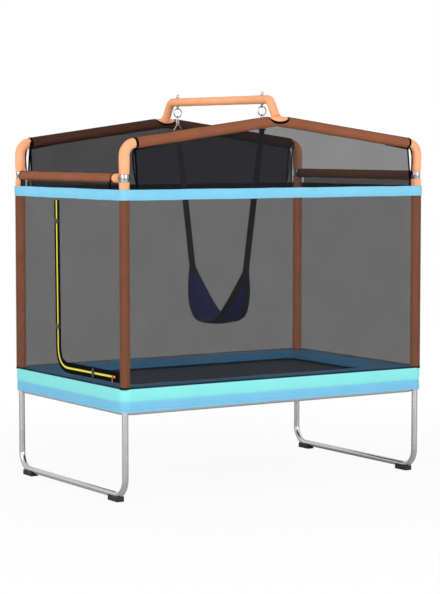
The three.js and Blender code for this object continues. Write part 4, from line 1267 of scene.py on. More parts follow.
BAR_Z, BAR_TUBE, BAR_FOAM, BAR_BEND, BAR_TILT = 2.001, 0.0125, 0.0225, 0.045, math.radians(32)
BAR_CORNER_Y = CORNER_Y - (BAR_Z - PEAK_Z) * math.tan(BAR_TILT)


def on_bar_leg(run):
    """A point of the rear leg's axis, at a distance along it from the peak."""
    return (0, CORNER_Y - run * math.sin(BAR_TILT), PEAK_Z + run * math.cos(BAR_TILT))


def bar_line(start, step):
    """The bar's axis over both legs, from a distance above each peak."""
    rear = [on_bar_leg(start), (0, BAR_CORNER_Y, BAR_Z)]
    front = [(0, -y, z) for _, y, z in reversed(rear)]
    return finely(bend_path(rear + front, BAR_BEND, 18), step)


saddles = [
    tube([(x, sy * CORNER_Y, gable_z(x)) for x in (0.035, 0, -0.035)], 0.019, (0, 1, 0), bore=0.0164)
    for _, sy in SIDES
]
bar = piece(
    "crossbar_tube",
    [tube(bar_line(0.018, 0.05), BAR_TUBE, (1, 0, 0), bore=BAR_TUBE - TUBE_WALL)] + saddles,
    [leg_steel],
    "frame",
)
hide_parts("crossbar")
foam_line = bar_line(0.0205, 0.008)
from_end = [min(k, len(foam_line) - 1 - k) for k in range(len(foam_line))]
foam_radii = [BAR_FOAM + 0.0035 * math.exp(-k / 1.6) for k in from_end]
slack = puckered(80, 0.0003, 4.7, (0.2, 0.07))
padding = tube(foam_line, foam_radii, (1, 0, 0), bore=BAR_TUBE + 0.0004, sides=48, relief=slack)
padding = piece("crossbar_padding", [padding], [foam_orange], "frame", sharp=50)
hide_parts("crossbar_foam")

# ------------------------------------------------------------------ swing hardware
# Nickel-plated steel: eye bolts with a loop above and below the bar, a large ring and a snap hook
# with a sprung gate under each, and flat rings that the straps are sewn to.

HANG_Y = 0.417
LOWER_EYE_Z, UPPER_EYE_Z, RING_Z = 1.9682, 2.0338, 1.9428
HOOK_TOP, HOOK_FOOT, HOOK_HALF = 1.9249, 1.8739, 0.0095
STRAP_RING_TOP, STRAP_BAR_Z = 1.8810, 1.8470
plated = bright_steel("nickel_plated_steel", "b0b0b8", 0.25, 0.08)


def eye_bolt():
    """A bolt through the bar, with an eye at each end and a washer on each face of the foam."""
    shank = [(0, HANG_Y, LOWER_EYE_Z + 0.009), (0, HANG_Y, UPPER_EYE_Z - 0.009)]
    shapes = [tube(shank, 0.004, (1, 0, 0), sides=16)]
    shapes.append(bead((0, HANG_Y, LOWER_EYE_Z), (1, 0, 0), 0.0075, 0.0025))
    shapes.append(bead((0, HANG_Y, UPPER_EYE_Z), (0, 1, 0), 0.0075, 0.0025))
    for z, away in ((BAR_Z - BAR_FOAM - 0.0002, -1), (BAR_Z + BAR_FOAM + 0.0002, 1)):
        washer = [(0, HANG_Y, z), (0, HANG_Y, z + 0.0006 * away), (0, HANG_Y, z + 0.0016 * away)]
        shapes.append(tube(washer, [0.0105, 0.011, 0.0105], (1, 0, 0), sides=24))
    return shapes


def snap_hook():
    """The hook's body: a long link of bent wire, open where the gate closes it."""
    near, far = HANG_Y - HOOK_HALF, HANG_Y + HOOK_HALF
    corners = [
        (0, near, HOOK_FOOT + 0.0115),
        (0, near, HOOK_FOOT),
        (0, far, HOOK_FOOT),
        (0, far, HOOK_TOP),
        (0, near, HOOK_TOP),
        (0, near, HOOK_TOP - 0.0135),
    ]
    path = bend_path(corners, HOOK_HALF - 0.0001, 10)
    return tube(path, [0.0019] + [0.0025] * (len(path) - 2) + [0.0017], (1, 0, 0), sides=14)


def strap_ring():
    """A flat bent-wire ring, wider at its foot, where the strap's loop goes round."""
    top, foot = 0.0050, 0.0265
    corners = [(top, STRAP_RING_TOP - 0.0020), (-top, STRAP_RING_TOP - 0.0020)]
    corners += [(-foot, STRAP_BAR_Z), (foot, STRAP_BAR_Z)]
    loop = []
    for i, (x, z) in enumerate(corners):
        a, b = Vector(corners[i - 1] + (0,)), Vector(corners[(i + 1) % 4] + (0,))
        here = Vector((x, z, 0))
        back, on = (a - here).normalized() * 0.0035, (b - here).normalized() * 0.0035
        for t in (0.0, 0.25, 0.5, 0.75, 1.0):
            p = here + back * (1 - t) ** 2 + on * t**2
            loop.append(Vector((p.x, HANG_Y, p.y)))
    return tube(loop, 0.0020, (0, 1, 0), sides=12, closed=True)


gate_shape = tube(
    [(0, HANG_Y - HOOK_HALF, z) for z in (HOOK_FOOT + 0.0125, HOOK_FOOT + 0.013, 1.9105, 1.9111)],
    [0.0016, 0.002, 0.002, 0.0015],
    (1, 0, 0),
    sides=14,
)
for side, sy in SIDES:
    for name, shapes, body, node in (
        ("eye_bolt_through_bar", eye_bolt(), "frame", "eye_bolt"),
        ("big_ring", [bead((0, HANG_Y, RING_Z), (0, 1, 0), 0.024, 0.003)], "swing", "swing_ring"),
        ("carabiner", [snap_hook()], "swing", "snap_hook"),
        ("carabiner_gate", [gate_shape], f"hook_gate_{side}", "hook_gate"),
        ("flat_ring", [strap_ring()], "swing", "strap_ring"),
    ):
        shapes = [placed(shape, mirror=(1, sy, 1)) for shape in shapes]
        part = piece(f"{name}_{side}", shapes, [plated], body)
        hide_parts(f"{node}_{side}")

# ------------------------------------------------------------------ swing straps and seat
# Two webbing straps sewn round the flat rings carry a sling of navy cloth, a leaf that is wide at
# its bottom, bound with black webbing along both edges and gathered into a black end at each strap.

SEAT_LOW, SEAT_RISE, SEAT_REACH, SEAT_CURVE = 0.812, 0.288, 0.265, 2.6
SEAT_HALF, SEAT_END_HALF, SEAT_TAPER, SEAT_CUP = 0.096, 0.0195, 1.35, 0.008
STRAP_WIDTH, STRAP_TOP_WIDTH = 0.0395, 0.031
# Where the black end of the sling begins, on its inside and on its outside.
BLACK_END_Z = (1.047, 1.020)
seat_cloth = woven_cloth("navy_nylon_sling", "25246a", 0.0026, 0.72, 0.14, 0.4, 0.08)


def seat_half(along):
    """Half the sling's width at a place along it."""
    rise = abs(math.sin(along * math.pi / 2)) ** SEAT_CURVE
    return SEAT_HALF - (SEAT_HALF - SEAT_END_HALF) * rise**SEAT_TAPER


def seat_point(along, across, lift):
    """A point of the sling: along from -1 to 1 front to rear, across from edge to edge."""
    y = SEAT_REACH * math.sin(along * math.pi / 2)
    share = abs(y / SEAT_REACH)
    rise = share**SEAT_CURVE
    slope = math.copysign(SEAT_RISE * SEAT_CURVE * share ** (SEAT_CURVE - 1) / SEAT_REACH, y)
    inward = Vector((-slope, 1)).normalized()
    drape = 0.0016 * math.sin(9 * along + 3 * across) * (1 - across * across) + 0.0012 * math.sin(23 * along)
    shift = lift + drape * (1 - rise) - SEAT_CUP * (1 - across * across) * (1 - rise)
    z = SEAT_LOW + SEAT_CUP + (SEAT_RISE - SEAT_CUP) * rise
    return (seat_half(along) * across, y + inward.x * shift, z + inward.y * shift)


def seat_lines(half):
    """Distances from the middle of the sling's lengthwise lines: hem, strap and open cloth."""
    strap = min(STRAP_WIDTH + 0.001, half * 0.96)
    edge = [half - strap * share for share in (0, 0.15, 0.4, 0.7, 0.97, 1.0)]
    middle = [edge[-1] * (1 - k / 7) for k in range(1, 14)]
    return [-d for d in edge] + [-d for d in middle] + edge[::-1]


def sling():
    """The sling's leaf; on its outside each strap runs on along an edge, down to its bottom."""
    rows = 110
    strap_columns = 5
    width = len(seat_lines(1.0))
    points = []
    for face in (1, -1):
        for i in range(rows + 1):
            along = 2 * i / rows - 1
            half = seat_half(along)
            for j, d in enumerate(seat_lines(half)):
                sewn_on = j < strap_columns or j >= width - strap_columns
                thick = 0.0020 if sewn_on else 0.0012
                points.append(seat_point(along, d / half, face * thick))
    faces, finish = [], []

    def at(i, j, under):
        return under * (rows + 1) * width + i * width + j

    for i in range(rows):
        height = points[at(i, width // 2, 0)][2]
        for j in range(width - 1):
            strap = j < strap_columns or j >= width - 1 - strap_columns
            hem = j == 0 or j == width - 2
            for under in (0, 1):
                here, there = at(i, j, under), at(i + 1, j, under)
                faces.append([here, here + 1, there + 1, there])
                dark = (strap if under else hem) or height > BLACK_END_Z[under]
                finish.append(1 if dark else 0)
        for j in (0, width - 1):
            faces.append([at(i, j, 0), at(i + 1, j, 0), at(i + 1, j, 1), at(i, j, 1)])
            finish.append(1)
    for i in (0, rows):
        for j in range(width - 1):
            faces.append([at(i, j, 0), at(i, j + 1, 0), at(i, j + 1, 1), at(i, j, 1)])
            finish.append(1)
    run = [0.0]
    for i in range(rows):
        run.append(run[-1] + math.dist(points[at(i, width // 2, 0)], points[at(i + 1, width // 2, 0)]))
    uvs = []
    for face in faces:
        cells = [v % ((rows + 1) * width) for v in face]
        uvs.append([(points[c][0], run[c // width]) for c in cells])
    halves = [seat_half(2 * i / rows - 1) for i in range(rows + 1)]
    area = sum((run[i + 1] - run[i]) * (halves[i] + halves[i + 1]) for i in range(rows))
    return (np.array(points), faces, uvs, finish), run[-1], area


sling_shape, sling_length, sling_area = sling()
sling_cloth = piece("sling_seat", [sling_shape], [seat_cloth, black_webbing], "swing", sharp=60)
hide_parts("swing_seat")


def ribbon(path, width, thick, across, last_width=None):
    """Flat webbing along a path, with slightly rounded edges; it can widen over its first third."""
    path = [Vector(p) for p in path]
    across = Vector(across)
    rows = []
    for i, p in enumerate(path):
        ahead = (path[min(i + 1, len(path) - 1)] - path[max(i - 1, 0)]).normalized()
        out = across.cross(ahead).normalized() * thick / 2
        wide = width + ((last_width or width) - width) * min(1, 3 * i / (len(path) - 1))
        side = across * wide / 2
        soft = across * (wide / 2 - thick * 0.4)
        rows.append([p + side, p + soft + out, p - soft + out, p - side, p - soft - out, p + soft - out])
    points, faces, _, finish = loft(rows)
    run = np.concatenate([[0], np.cumsum([(b - a).length for a, b in zip(path, path[1:])])])
    turns = [width, width - thick, thick * 0.5, 0, thick * 0.5, width - thick]
    uvs = [[(turns[v % 6], run[v // 6]) for v in face] for face in faces]
    return points, faces, uvs, finish


seat_end = Vector((0, SEAT_REACH, SEAT_LOW + SEAT_RISE))
strap_head = Vector((0, HANG_Y, STRAP_BAR_Z))
strap_run = (strap_head - seat_end).normalized()
strap_out = Vector((1, 0, 0)).cross(strap_run)
loop_radius = 0.0052
loop_path = []
for k in range(25):
    a = math.radians(-150 + 300 * k / 24)
    loop_path.append(strap_head + (strap_run * math.cos(a) + strap_out * math.sin(a)) * loop_radius)
closing = strap_head - strap_run * 0.022
loop_path = [closing - strap_out * 0.0016] + loop_path + [closing + strap_out * 0.0016]
tail_path = [closing + (seat_end - closing) * (k / 40) for k in range(41)]
tail_path = [p + strap_out * 0.0012 * math.sin(k / 40 * math.pi) for k, p in enumerate(tail_path)]
doubled = [p + strap_out * 0.0027 for p in tail_path[:5]]
for side, sy in SIDES:
    shapes = [
        ribbon(loop_path, STRAP_TOP_WIDTH, 0.0022, (1, 0, 0)),
        ribbon(tail_path, STRAP_TOP_WIDTH, 0.0026, (1, 0, 0), STRAP_WIDTH),
        ribbon(doubled, STRAP_TOP_WIDTH - 0.0005, 0.0022, (1, 0, 0)),
    ]
    strap = piece(
        f"webbing_strap_{side}",
        [placed(shape, mirror=(1, sy, 1)) for shape in shapes],
        [black_webbing],
        "swing",
        sharp=40,
    )
    lengths = [sum((b - a).length for a, b in zip(run, run[1:])) for run in (loop_path, tail_path, doubled)]
    area = STRAP_TOP_WIDTH * (lengths[0] + lengths[2]) + (STRAP_TOP_WIDTH + 5 * STRAP_WIDTH) / 6 * lengths[1]
    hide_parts(f"swing_strap_{side}")

# ------------------------------------------------------------------ safety net
# Knitted polyester mesh in black, a wide mesh below the band and a closer one in the gables. The
# short sides wrap round the poles, and every free edge is bound with black tape.

NET_IN, NET_OUT, NET_FOOT = 0.0268, 0.0283, 0.5665
NET_HALF_X, NET_TOP, GABLE_NET_HALF = 0.9027, BAND_HIGH - 0.004, 0.848
# The gable panels lean in from the band's plane to the seam under the sleeve.
GABLE_LEAN = 0.0255


def knitted_net(name, cover, mesh):
    """Black knitted mesh, see-through between its threads. The cover is the share of light that
    one face stops, since a ray crosses both faces of the thin sheet."""
    made, tree, shader = new_finish(name)
    shader.inputs["Base Color"].default_value = linear("1c1c1f")
    shader.inputs["Roughness"].default_value = 0.95
    shader.inputs["Specular IOR Level"].default_value = 0.1
    flat = add_node(tree, "ShaderNodeTexCoord").outputs["UV"]
    # Real holes are about 2 mm wide; the knit is drawn coarser so that its grain shows.
    knit = [
        add_node(
            tree,
            "ShaderNodeTexWave",
            {"Vector": flat, "Scale": WAVE_PERIOD / mesh},
            bands_direction=direction,
        ).outputs["Fac"]
        for direction in ("X", "Y")
    ]
    grid = add_node(tree, "ShaderNodeMath", {0: knit[0], 1: knit[1]}, operation="MAXIMUM")
    slack = add_node(
        tree,
        "ShaderNodeTexNoise",
        {"Vector": add_node(tree, "ShaderNodeTexCoord").outputs["Object"], "Scale": 5, "Detail": 3},
    )
    share = add_node(
        tree,
        "ShaderNodeMapRange",
        {"Value": grid.outputs[0], "To Min": cover - 0.12, "To Max": cover + 0.06},
    )
    drift = add_node(
        tree, "ShaderNodeMapRange", {"Value": slack.outputs["Fac"], "To Min": -0.025, "To Max": 0.025}
    )
    alpha = add_node(tree, "ShaderNodeMath", {0: share.outputs[0], 1: drift.outputs[0]}, operation="ADD")
    tree.links.new(alpha.outputs[0], shader.inputs["Alpha"])
    return made


lower_net = knitted_net("knitted_net_wide_mesh", 0.39, 0.006)
gable_net = knitted_net("knitted_net_close_mesh", 0.51, 0.005)


def with_uvs(shape, first, second):
    """The shape with two of its coordinates, numbered 0 to 2, as its UVs."""
    points, faces, _, finish = shape
    uvs = [[(points[v][first], points[v][second]) for v in face] for face in faces]
    return points, faces, uvs, finish


def under_sleeve(x):
    """Height of the seam under a gable sleeve, a little inside its cloth."""
    return gable_z(x) - GABLE_RADIUS / math.cos(GABLE_PITCH) + 0.0015


def panel(near, far, stations, low, high, material, lean=0.0, rows=24):
    """A flat net panel across X between two Y planes, from low(x) to high(x), leaning in at its top."""
    lines = []
    for x in stations:
        climb = [(lean * k / rows, low(x) + (high(x) - low(x)) * k / rows) for k in range(rows + 1)]
        line = [(x, near - inward, z) for inward, z in climb]
        lines.append(line + [(x, far - inward, z) for inward, z in reversed(climb)])
    return with_uvs(loft(lines, material=material), 0, 2)


def smooth(path, between):
    """A soft curve through the points, with some points between each two."""
    points = [Vector(p) for p in path]
    ends = [points[0] * 2 - points[1]] + points + [points[-1] * 2 - points[-2]]
    line = []
    for a, b, c, d in zip(ends, ends[1:], ends[2:], ends[3:]):
        for k in range(between):
            t = k / between
            bend, twist = a * 2 - b * 5 + c * 4 - d, b * 3 - a - c * 3 + d
            line.append(b + (c - a) * t / 2 + bend * t * t / 2 + twist * t**3 / 2)
    return line + [points[-1]]


lower_x = np.linspace(-NET_HALF_X, NET_HALF_X, 41)
gable_x = np.concatenate([np.linspace(-GABLE_NET_HALF, 0, 21), np.linspace(0, GABLE_NET_HALF, 21)[1:]])
gable_rise = np.array([under_sleeve(x) for x in gable_x]) - NET_TOP
gable_area = float(np.sum(gable_rise[1:] * np.diff(gable_x)))
for side, sy in SIDES:
    near, far = CORNER_Y + NET_IN, CORNER_Y + NET_OUT
    middle = (near + far) / 2
    shapes = [
        panel(near, far, lower_x, lambda x: NET_FOOT, lambda x: NET_TOP, 0),
        panel(near, far, gable_x, lambda x: NET_TOP, under_sleeve, 1, GABLE_LEAN),
    ]
    # The foot is a hem of the doubled net; the other edges are bound in black.
    tapes = [placed(ribbon([(x, middle, NET_FOOT + 0.006) for x in lower_x], 0.012, 0.0026, (0, 0, 1)), 0)]
    for end in (-1, 1):
        # Binding on the panel's side edge and, near the arch's bend, under the sleeve.
        x = GABLE_NET_HALF - 0.005
        rise = under_sleeve(x) - BAND_HIGH
        climb = np.linspace(0, 1, 12)
        side_edge = [(end * x, middle - GABLE_LEAN * t, BAND_HIGH + rise * t) for t in climb]
        tapes.append(placed(ribbon(side_edge, 0.011, 0.0026, (1, 0, 0)), 2))
        under = [(end * t, middle - GABLE_LEAN, under_sleeve(t) - 0.004) for t in (0.690, 0.780, 0.8475)]
        under = finely(under, 0.03)
        taper = list(np.linspace(0.0012, 0.0046, len(under)))
        tapes.append(placed(tube(under, taper, (0, 1, 0), sides=10), 2))
        # The cord that ties the panel's corner to the pole: from the sleeve's rim down to the band.
        rim = gable_z(0.853)
        cord = [(0.8500, rim - 0.020), (0.8590, rim - 0.045), (0.8625, rim - 0.075), (0.8610, rim - 0.105)]
        cord += [(0.8560, rim - 0.150), (0.8480, rim - 0.190), (0.8400, BAND_HIGH - 0.002)]
        cord = [(end * t, CORNER_Y + 0.012 + 0.010 * k / 6, z) for k, (t, z) in enumerate(cord)]
        tapes.append(placed(tube(smooth(cord, 5), 0.0042, (0, 1, 0), sides=10), 2))
    shapes, tapes = ([placed(shape, mirror=(1, sy, 1)) for shape in group] for group in (shapes, tapes))
    materials = [lower_net, gable_net, black_binding]
    net = piece(f"long_side_net_{side}", shapes, materials, "frame", sharp=60)
    binding = piece(f"long_side_bindings_{side}", tapes, materials, "frame", sharp=60)
    area = 2 * NET_HALF_X * (NET_TOP - NET_FOOT) + gable_area
    # The open mesh would throw too deep a shadow on what stands behind it.
    net.visible_shadow = False
    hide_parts(f"net_{side}")

# A second layer lines the rear gable on its inner side. It meets the same seam and goes on round
# the sleeve's inner half up to the piping, as one layer of the wide mesh.
LINER_Y, LINER_LEAN = CORNER_Y - 0.024, -0.022
WRAP = GABLE_RADIUS + 0.0017


def sleeve_wrap():
    """The part of the layer that goes round the sleeve, left open where the scoop is."""
    rows = []
    for x in np.linspace(-GABLE_NET_HALF + 0.008, GABLE_NET_HALF - 0.008, 169):
        height = min(scoop_z(x) - gable_z(x), GABLE_RADIUS) if abs(x) < SCOOP_HALF else GABLE_RADIUS
        start = math.acos(max(-1, height / GABLE_RADIUS)) + 0.02
        turns = [start + (math.pi - start) * k / 12 for k in range(13)]
        row = []
        for radius, order in ((WRAP, turns), (WRAP + 0.0009, turns[::-1])):
            row += [(x, CORNER_Y - radius * math.sin(a), gable_z(x) + radius * math.cos(a)) for a in order]
        rows.append(row)
    return with_uvs(loft(rows, material=1), 0, 2)


liner_panel = panel(LINER_Y - 0.0011, LINER_Y, gable_x, lambda x: NET_TOP, under_sleeve, 0, LINER_LEAN)
liner = piece(
    "gable_liner_rear",
    [liner_panel, sleeve_wrap()],
    [gable_net, lower_net],
    "frame",
    sharp=60,
)
liner.visible_shadow = False
# Its side edges are bound with a thick roll of black tape that swings out to the sleeve's rim.
rolls = []
for end in (-1, 1):
    rim = gable_z(0.852)
    roll = [(0.842, 0.024, BAND_HIGH - 0.002), (0.845, 0.021, 1.620), (0.850, 0.022, rim - 0.060)]
    roll += [(0.8545, 0.030, rim - 0.018), (0.8530, 0.0335, rim + 0.008)]
    roll = [(end * x, CORNER_Y - inward, z) for x, inward, z in roll]
    rolls.append(tube(smooth(roll, 5), 0.0044, (0, 1, 0), sides=12))
liner_edges = piece("gable_liner_edges", rolls, [black_binding], "frame", sharp=60)


def end_path(offset):
    """The short side's line seen from above: round one pole, straight across, round the other."""
    line = []
    for sign, first in ((-1, -90), (1, 0)):
        for k in range(13):
            a = math.radians(first + 90 * k / 12)
            line.append((CORNER_X + offset * math.cos(a), sign * CORNER_Y + offset * math.sin(a)))
        if sign < 0:
            line += [(CORNER_X + offset, -CORNER_Y + 2 * CORNER_Y * k / 24) for k in range(1, 24)]
    return line


def end_panel():
    """The short side's net from its foot to the band, with UVs that follow it round the poles."""
    heights = [NET_FOOT + (NET_TOP - NET_FOOT) * k / 20 for k in range(21)]
    lines, run, before = [], [0.0], None
    for (x0, y0), (x1, y1) in zip(end_path(NET_IN), end_path(NET_OUT)):
        lines.append([(x0, y0, z) for z in heights] + [(x1, y1, z) for z in reversed(heights)])
        if before:
            run.append(run[-1] + math.dist(before, (x1, y1)))
        before = (x1, y1)
    points, faces, _, finish = loft(lines)
    width = len(lines[0])
    uvs = [[(run[v // width], points[v][2]) for v in face] for face in faces]
    return points, faces, uvs, finish


# The strip under a beam reaches both poles; at the door's end it stops where the sleeve turns down.
STRIP_HALF, SHORT_STRIP_END = 0.5292, 0.486


def under_beam(rear_end):
    """The short strip between the band and the beam's sleeve, from the front pole to its rear end."""
    low, high = NET_TOP, BEAM_Z - BEAM_SLEEVE_RADIUS - 0.0003
    x0, x1 = CORNER_X + NET_IN, CORNER_X + NET_OUT
    stations = np.linspace(-STRIP_HALF, rear_end, 15)
    rows = [[(x0, y, low), (x0, y, high), (x1, y, high), (x1, y, low)] for y in stations]
    return with_uvs(loft(rows, material=1), 1, 2)


# ------------------------------------------------------------------ zipped door
# A flap of the same net, cut by a zip that runs along its bottom, round a corner and up one side.
# It folds out along its slanting edge. Yellow coil on black tape, three buckles, a red slider.

DOOR_FOOT_Z, DOOR_SIDE_Y, DOOR_CURVE = 0.626, 0.080, 0.110
DOOR_TIP, DOOR_TOP = (-0.475, DOOR_FOOT_Z), (0.092, 1.485)
NET_FACE = CORNER_X + NET_OUT
zip_line = [DOOR_TIP]
for k in range(25):
    t = k / 24
    away = (1 - t) ** 2
    zip_line.append((DOOR_SIDE_Y - DOOR_CURVE * away, DOOR_FOOT_Z + DOOR_CURVE * t * t))
zip_line.append(DOOR_TOP)


def beside(line, shift):
    """The line (y, z) moved sideways; a positive shift goes into the door."""
    moved = []
    for i, (y, z) in enumerate(line):
        a, b = line[max(i - 1, 0)], line[min(i + 1, len(line) - 1)]
        dy, dz = b[0] - a[0], b[1] - a[1]
        size = math.hypot(dy, dz)
        moved.append((y - dz / size * shift, z + dy / size * shift))
    return moved


def evenly(line, step):
    """The same line (y, z) with a point at least every step."""
    path = finely([(0, y, z) for y, z in line], step)
    return [(p.y, p.z) for p in path]


def end_trim(line, width, thick, off, material):
    """Flat trim on the outside of the door's end, along a line (y, z)."""
    rows, runs, run = [], [], 0.0
    lifts = (off, off + thick * 0.7, off + thick, off + thick, off + thick * 0.7, off)
    sides = (-0.5, -0.5, -0.46, 0.46, 0.5, 0.5)
    edges = [beside(line, width * s) for s in sides]
    for i in range(len(line)):
        rows.append([(-(NET_FACE + lift), *edge[i]) for lift, edge in zip(lifts, edges)])
        if i:
            run += math.dist(line[i], line[i - 1])
        runs.append(run)
    points, faces, _, finish = loft(rows, material=material)
    uvs = [[(width * sides[v % 6], runs[v // 6]) for v in face] for face in faces]
    return points, faces, uvs, finish


fold_along = Vector((0, DOOR_TOP[0] - DOOR_TIP[0], DOOR_TOP[1] - DOOR_TIP[1])).normalized()
fold_away = Vector((0, fold_along.z, -fold_along.y))


def flap():
    """The door's net in rows parallel to its fold line."""
    local = []
    for y, z in beside(zip_line, 0.001):
        y, z = y - DOOR_TIP[0], z - DOOR_TIP[1]
        local.append((y * fold_along.y + z * fold_along.z, y * fold_away.y + z * fold_away.z))
    local[0], local[-1] = (0.002, 0.0), (math.dist(DOOR_TIP, DOOR_TOP) - 0.002, 0.0)
    deepest = max(d for _, d in local)
    split = max(range(len(local)), key=lambda i: local[i][1])
    first = np.array(local[: split + 1])
    last = np.array(local[split:][::-1])
    steps = [0, 0.0025, 0.005, 0.01, 0.015, 0.02, 0.025, 0.03]
    steps += list(np.linspace(0.045, deepest * 0.985, 26)) + [deepest * 0.998]
    columns, rows = 36, []
    for d in steps:
        start = float(np.interp(d, first[:, 1], first[:, 0]))
        end = float(np.interp(d, last[:, 1], last[:, 0]))
        row = []
        for k in range(columns + 1):
            run = start + (end - start) * k / columns
            y = DOOR_TIP[0] + run * fold_along.y + d * fold_away.y
            z = DOOR_TIP[1] + run * fold_along.z + d * fold_away.z
            row.append((y, z))
        near = [(-(CORNER_X + NET_IN), y, z) for y, z in row]
        rows.append(near + [(-NET_FACE, y, z) for y, z in reversed(row)])
    return with_uvs(loft(rows), 1, 2)


def across_fold(made):
    """Bake a door piece's placement into its mesh."""
    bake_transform(made)


flap_area = 0.5 * abs(sum(a[0] * b[1] - b[0] * a[1] for a, b in zip(zip_line, zip_line[1:] + zip_line[:1])))
hem_rows = []
for x, y in end_path((NET_IN + NET_OUT) / 2):
    p, up = Vector((x, y, NET_FOOT + 0.006)), Vector((0, 0, 0.0055))
    centre_y = max(-CORNER_Y, min(CORNER_Y, p.y))
    out = Vector((p.x - CORNER_X, p.y - centre_y, 0)).normalized() * 0.0014
    hem_rows.append([p + out - up, p + out + up, p - out + up, p - out - up])
for end, sign in ENDS:
    body = piece(f"short_side_net_{end}", [end_panel()], [lower_net], None, sharp=60)
    outer_length = math.pi * NET_OUT + 2 * CORNER_Y
    area = outer_length * (NET_TOP - NET_FOOT)
    if end == "left":
        rows = [[(x, y, z) for y, z in zip_line] for x in (CORNER_X + 0.01, CORNER_X + 0.04)]
        body = cut_away(body, piece("door_hole", [loft(rows)], [lower_net], None))
        area -= flap_area
        body.data.transform(((-1, 0, 0, 0), (0, 1, 0, 0), (0, 0, 1, 0), (0, 0, 0, 1)))
        body.data.flip_normals()
        body.name = "short_side_net_left"
    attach(body, "frame")
    body.visible_shadow = False
    strip = under_beam(SHORT_STRIP_END if end == "left" else STRIP_HALF)
    trim = piece(
        f"short_side_bindings_{end}",
        [placed(shape, mirror=(sign, 1, 1)) for shape in (loft(hem_rows), strip)],
        [lower_net, gable_net, black_binding],
        "frame",
        sharp=60,
    )
    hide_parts(f"net_{end}")

flap_cloth = piece("door_flap_net", [flap()], [lower_net], None, sharp=60)
across_fold(flap_cloth)
flap_cloth.visible_shadow = False
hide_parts("door_flap")

zip_yellow, tree, shader = new_finish("yellow_zip_coil")
# Moulded nylon coil: bright yellow, slightly glossy, ribbed every 2.4 mm along the zip.
shader.inputs["Roughness"].default_value = 0.42
uv = add_node(tree, "ShaderNodeTexCoord").outputs["UV"]
ribs = add_node(tree, "ShaderNodeTexWave", {"Vector": uv, "Scale": WAVE_PERIOD / 0.0024}, bands_direction="Y")
bump = add_node(tree, "ShaderNodeBump", {"Height": ribs.outputs["Fac"], "Strength": 0.5, "Distance": 0.0008})
tree.links.new(bump.outputs[0], shader.inputs["Normal"])
# The yellow is darkened by up to a tenth between the ribs: painted shade in the coil's grooves.
tone = add_node(tree, "ShaderNodeMapRange", {"Value": ribs.outputs["Fac"], "To Min": 0.9, "To Max": 1.0})
colour_with_painted_shade = add_node(tree, "ShaderNodeVectorMath", {0: linear("fdf03c")[:3]}, operation="SCALE")
tree.links.new(tone.outputs[0], colour_with_painted_shade.inputs["Scale"])
tree.links.new(colour_with_painted_shade.outputs["Vector"], shader.inputs["Base Color"])

# The coil ends past the door's tip, and the tape runs on to the pole.
COIL_END, TAPE_END, COIL_SHIFT = (-0.510, DOOR_FOOT_Z), (-0.552, DOOR_FOOT_Z), 0.00255


def zip_tape(line, shift, width):
    """Flat tape on the net, with its middle beside the line."""
    return end_trim(beside(evenly(line, 0.012), shift), width, 0.0012, 0.0, 0)


def zip_coil(line, shift):
    """One side of the coil, on top of its tape."""
    return end_trim(beside(evenly(line, 0.012), shift), 0.0048, 0.0016, 0.0012, 1)


net_trims = [
    zip_tape([TAPE_END] + zip_line, -0.0145, 0.024),
    zip_coil([COIL_END] + zip_line, -COIL_SHIFT),
    # Beyond the door's tip the flap's tape is sewn to the net as well.
    zip_tape([TAPE_END, (-0.4755, DOOR_FOOT_Z)], 0.0125, 0.029),
    zip_coil([COIL_END, (-0.4755, DOOR_FOOT_Z)], COIL_SHIFT),
]
door_trims = [zip_tape(zip_line, 0.0155, 0.026), zip_coil(zip_line, COIL_SHIFT)]
tape_finishes = [black_binding, zip_yellow]
piece("zip_tape_net_side", net_trims, tape_finishes, "frame", sharp=50)
zip_door_side = piece("zip_tape_door_side", door_trims, tape_finishes, None, sharp=50)
across_fold(zip_door_side)

buckle_plastic, tree, shader = new_finish("black_acetal_buckle")
# Injection-moulded acetal: dark, waxy, with a very fine eroded grain.
shader.inputs["Base Color"].default_value = linear("2b2a2e")
place = add_node(tree, "ShaderNodeTexCoord").outputs["Object"]
grain = add_node(tree, "ShaderNodeTexNoise", {"Vector": place, "Scale": 900, "Detail": 2})
rough = add_node(tree, "ShaderNodeMapRange", {"Value": grain.outputs["Fac"], "To Min": 0.3, "To Max": 0.5})
tree.links.new(rough.outputs[0], shader.inputs["Roughness"])
bump = add_node(
    tree, "ShaderNodeBump", {"Height": grain.outputs["Fac"], "Strength": 0.15, "Distance": 0.0002}
)
tree.links.new(bump.outputs[0], shader.inputs["Normal"])


def block(size, corner, place_at, turn):
    """A moulded block with rounded corners, lying on the door's end at (y, z), turned in its plane."""
    half_y, half_z, height = size
    outline, _ = rounded_outline(half_y, half_z, corner, (2, 2), 5)
    c, s = math.cos(turn), math.sin(turn)
    rows = []
    for lift, share in ((0, 1.0), (height * 0.7, 1.0), (height, 0.86)):
        x = -(NET_FACE + 0.0026 + lift)
        row = [(y * share, z * share) for y, z in outline]
        rows.append([(x, place_at[0] + y * c - z * s, place_at[1] + y * s + z * c) for y, z in row])
    return loft(rows)


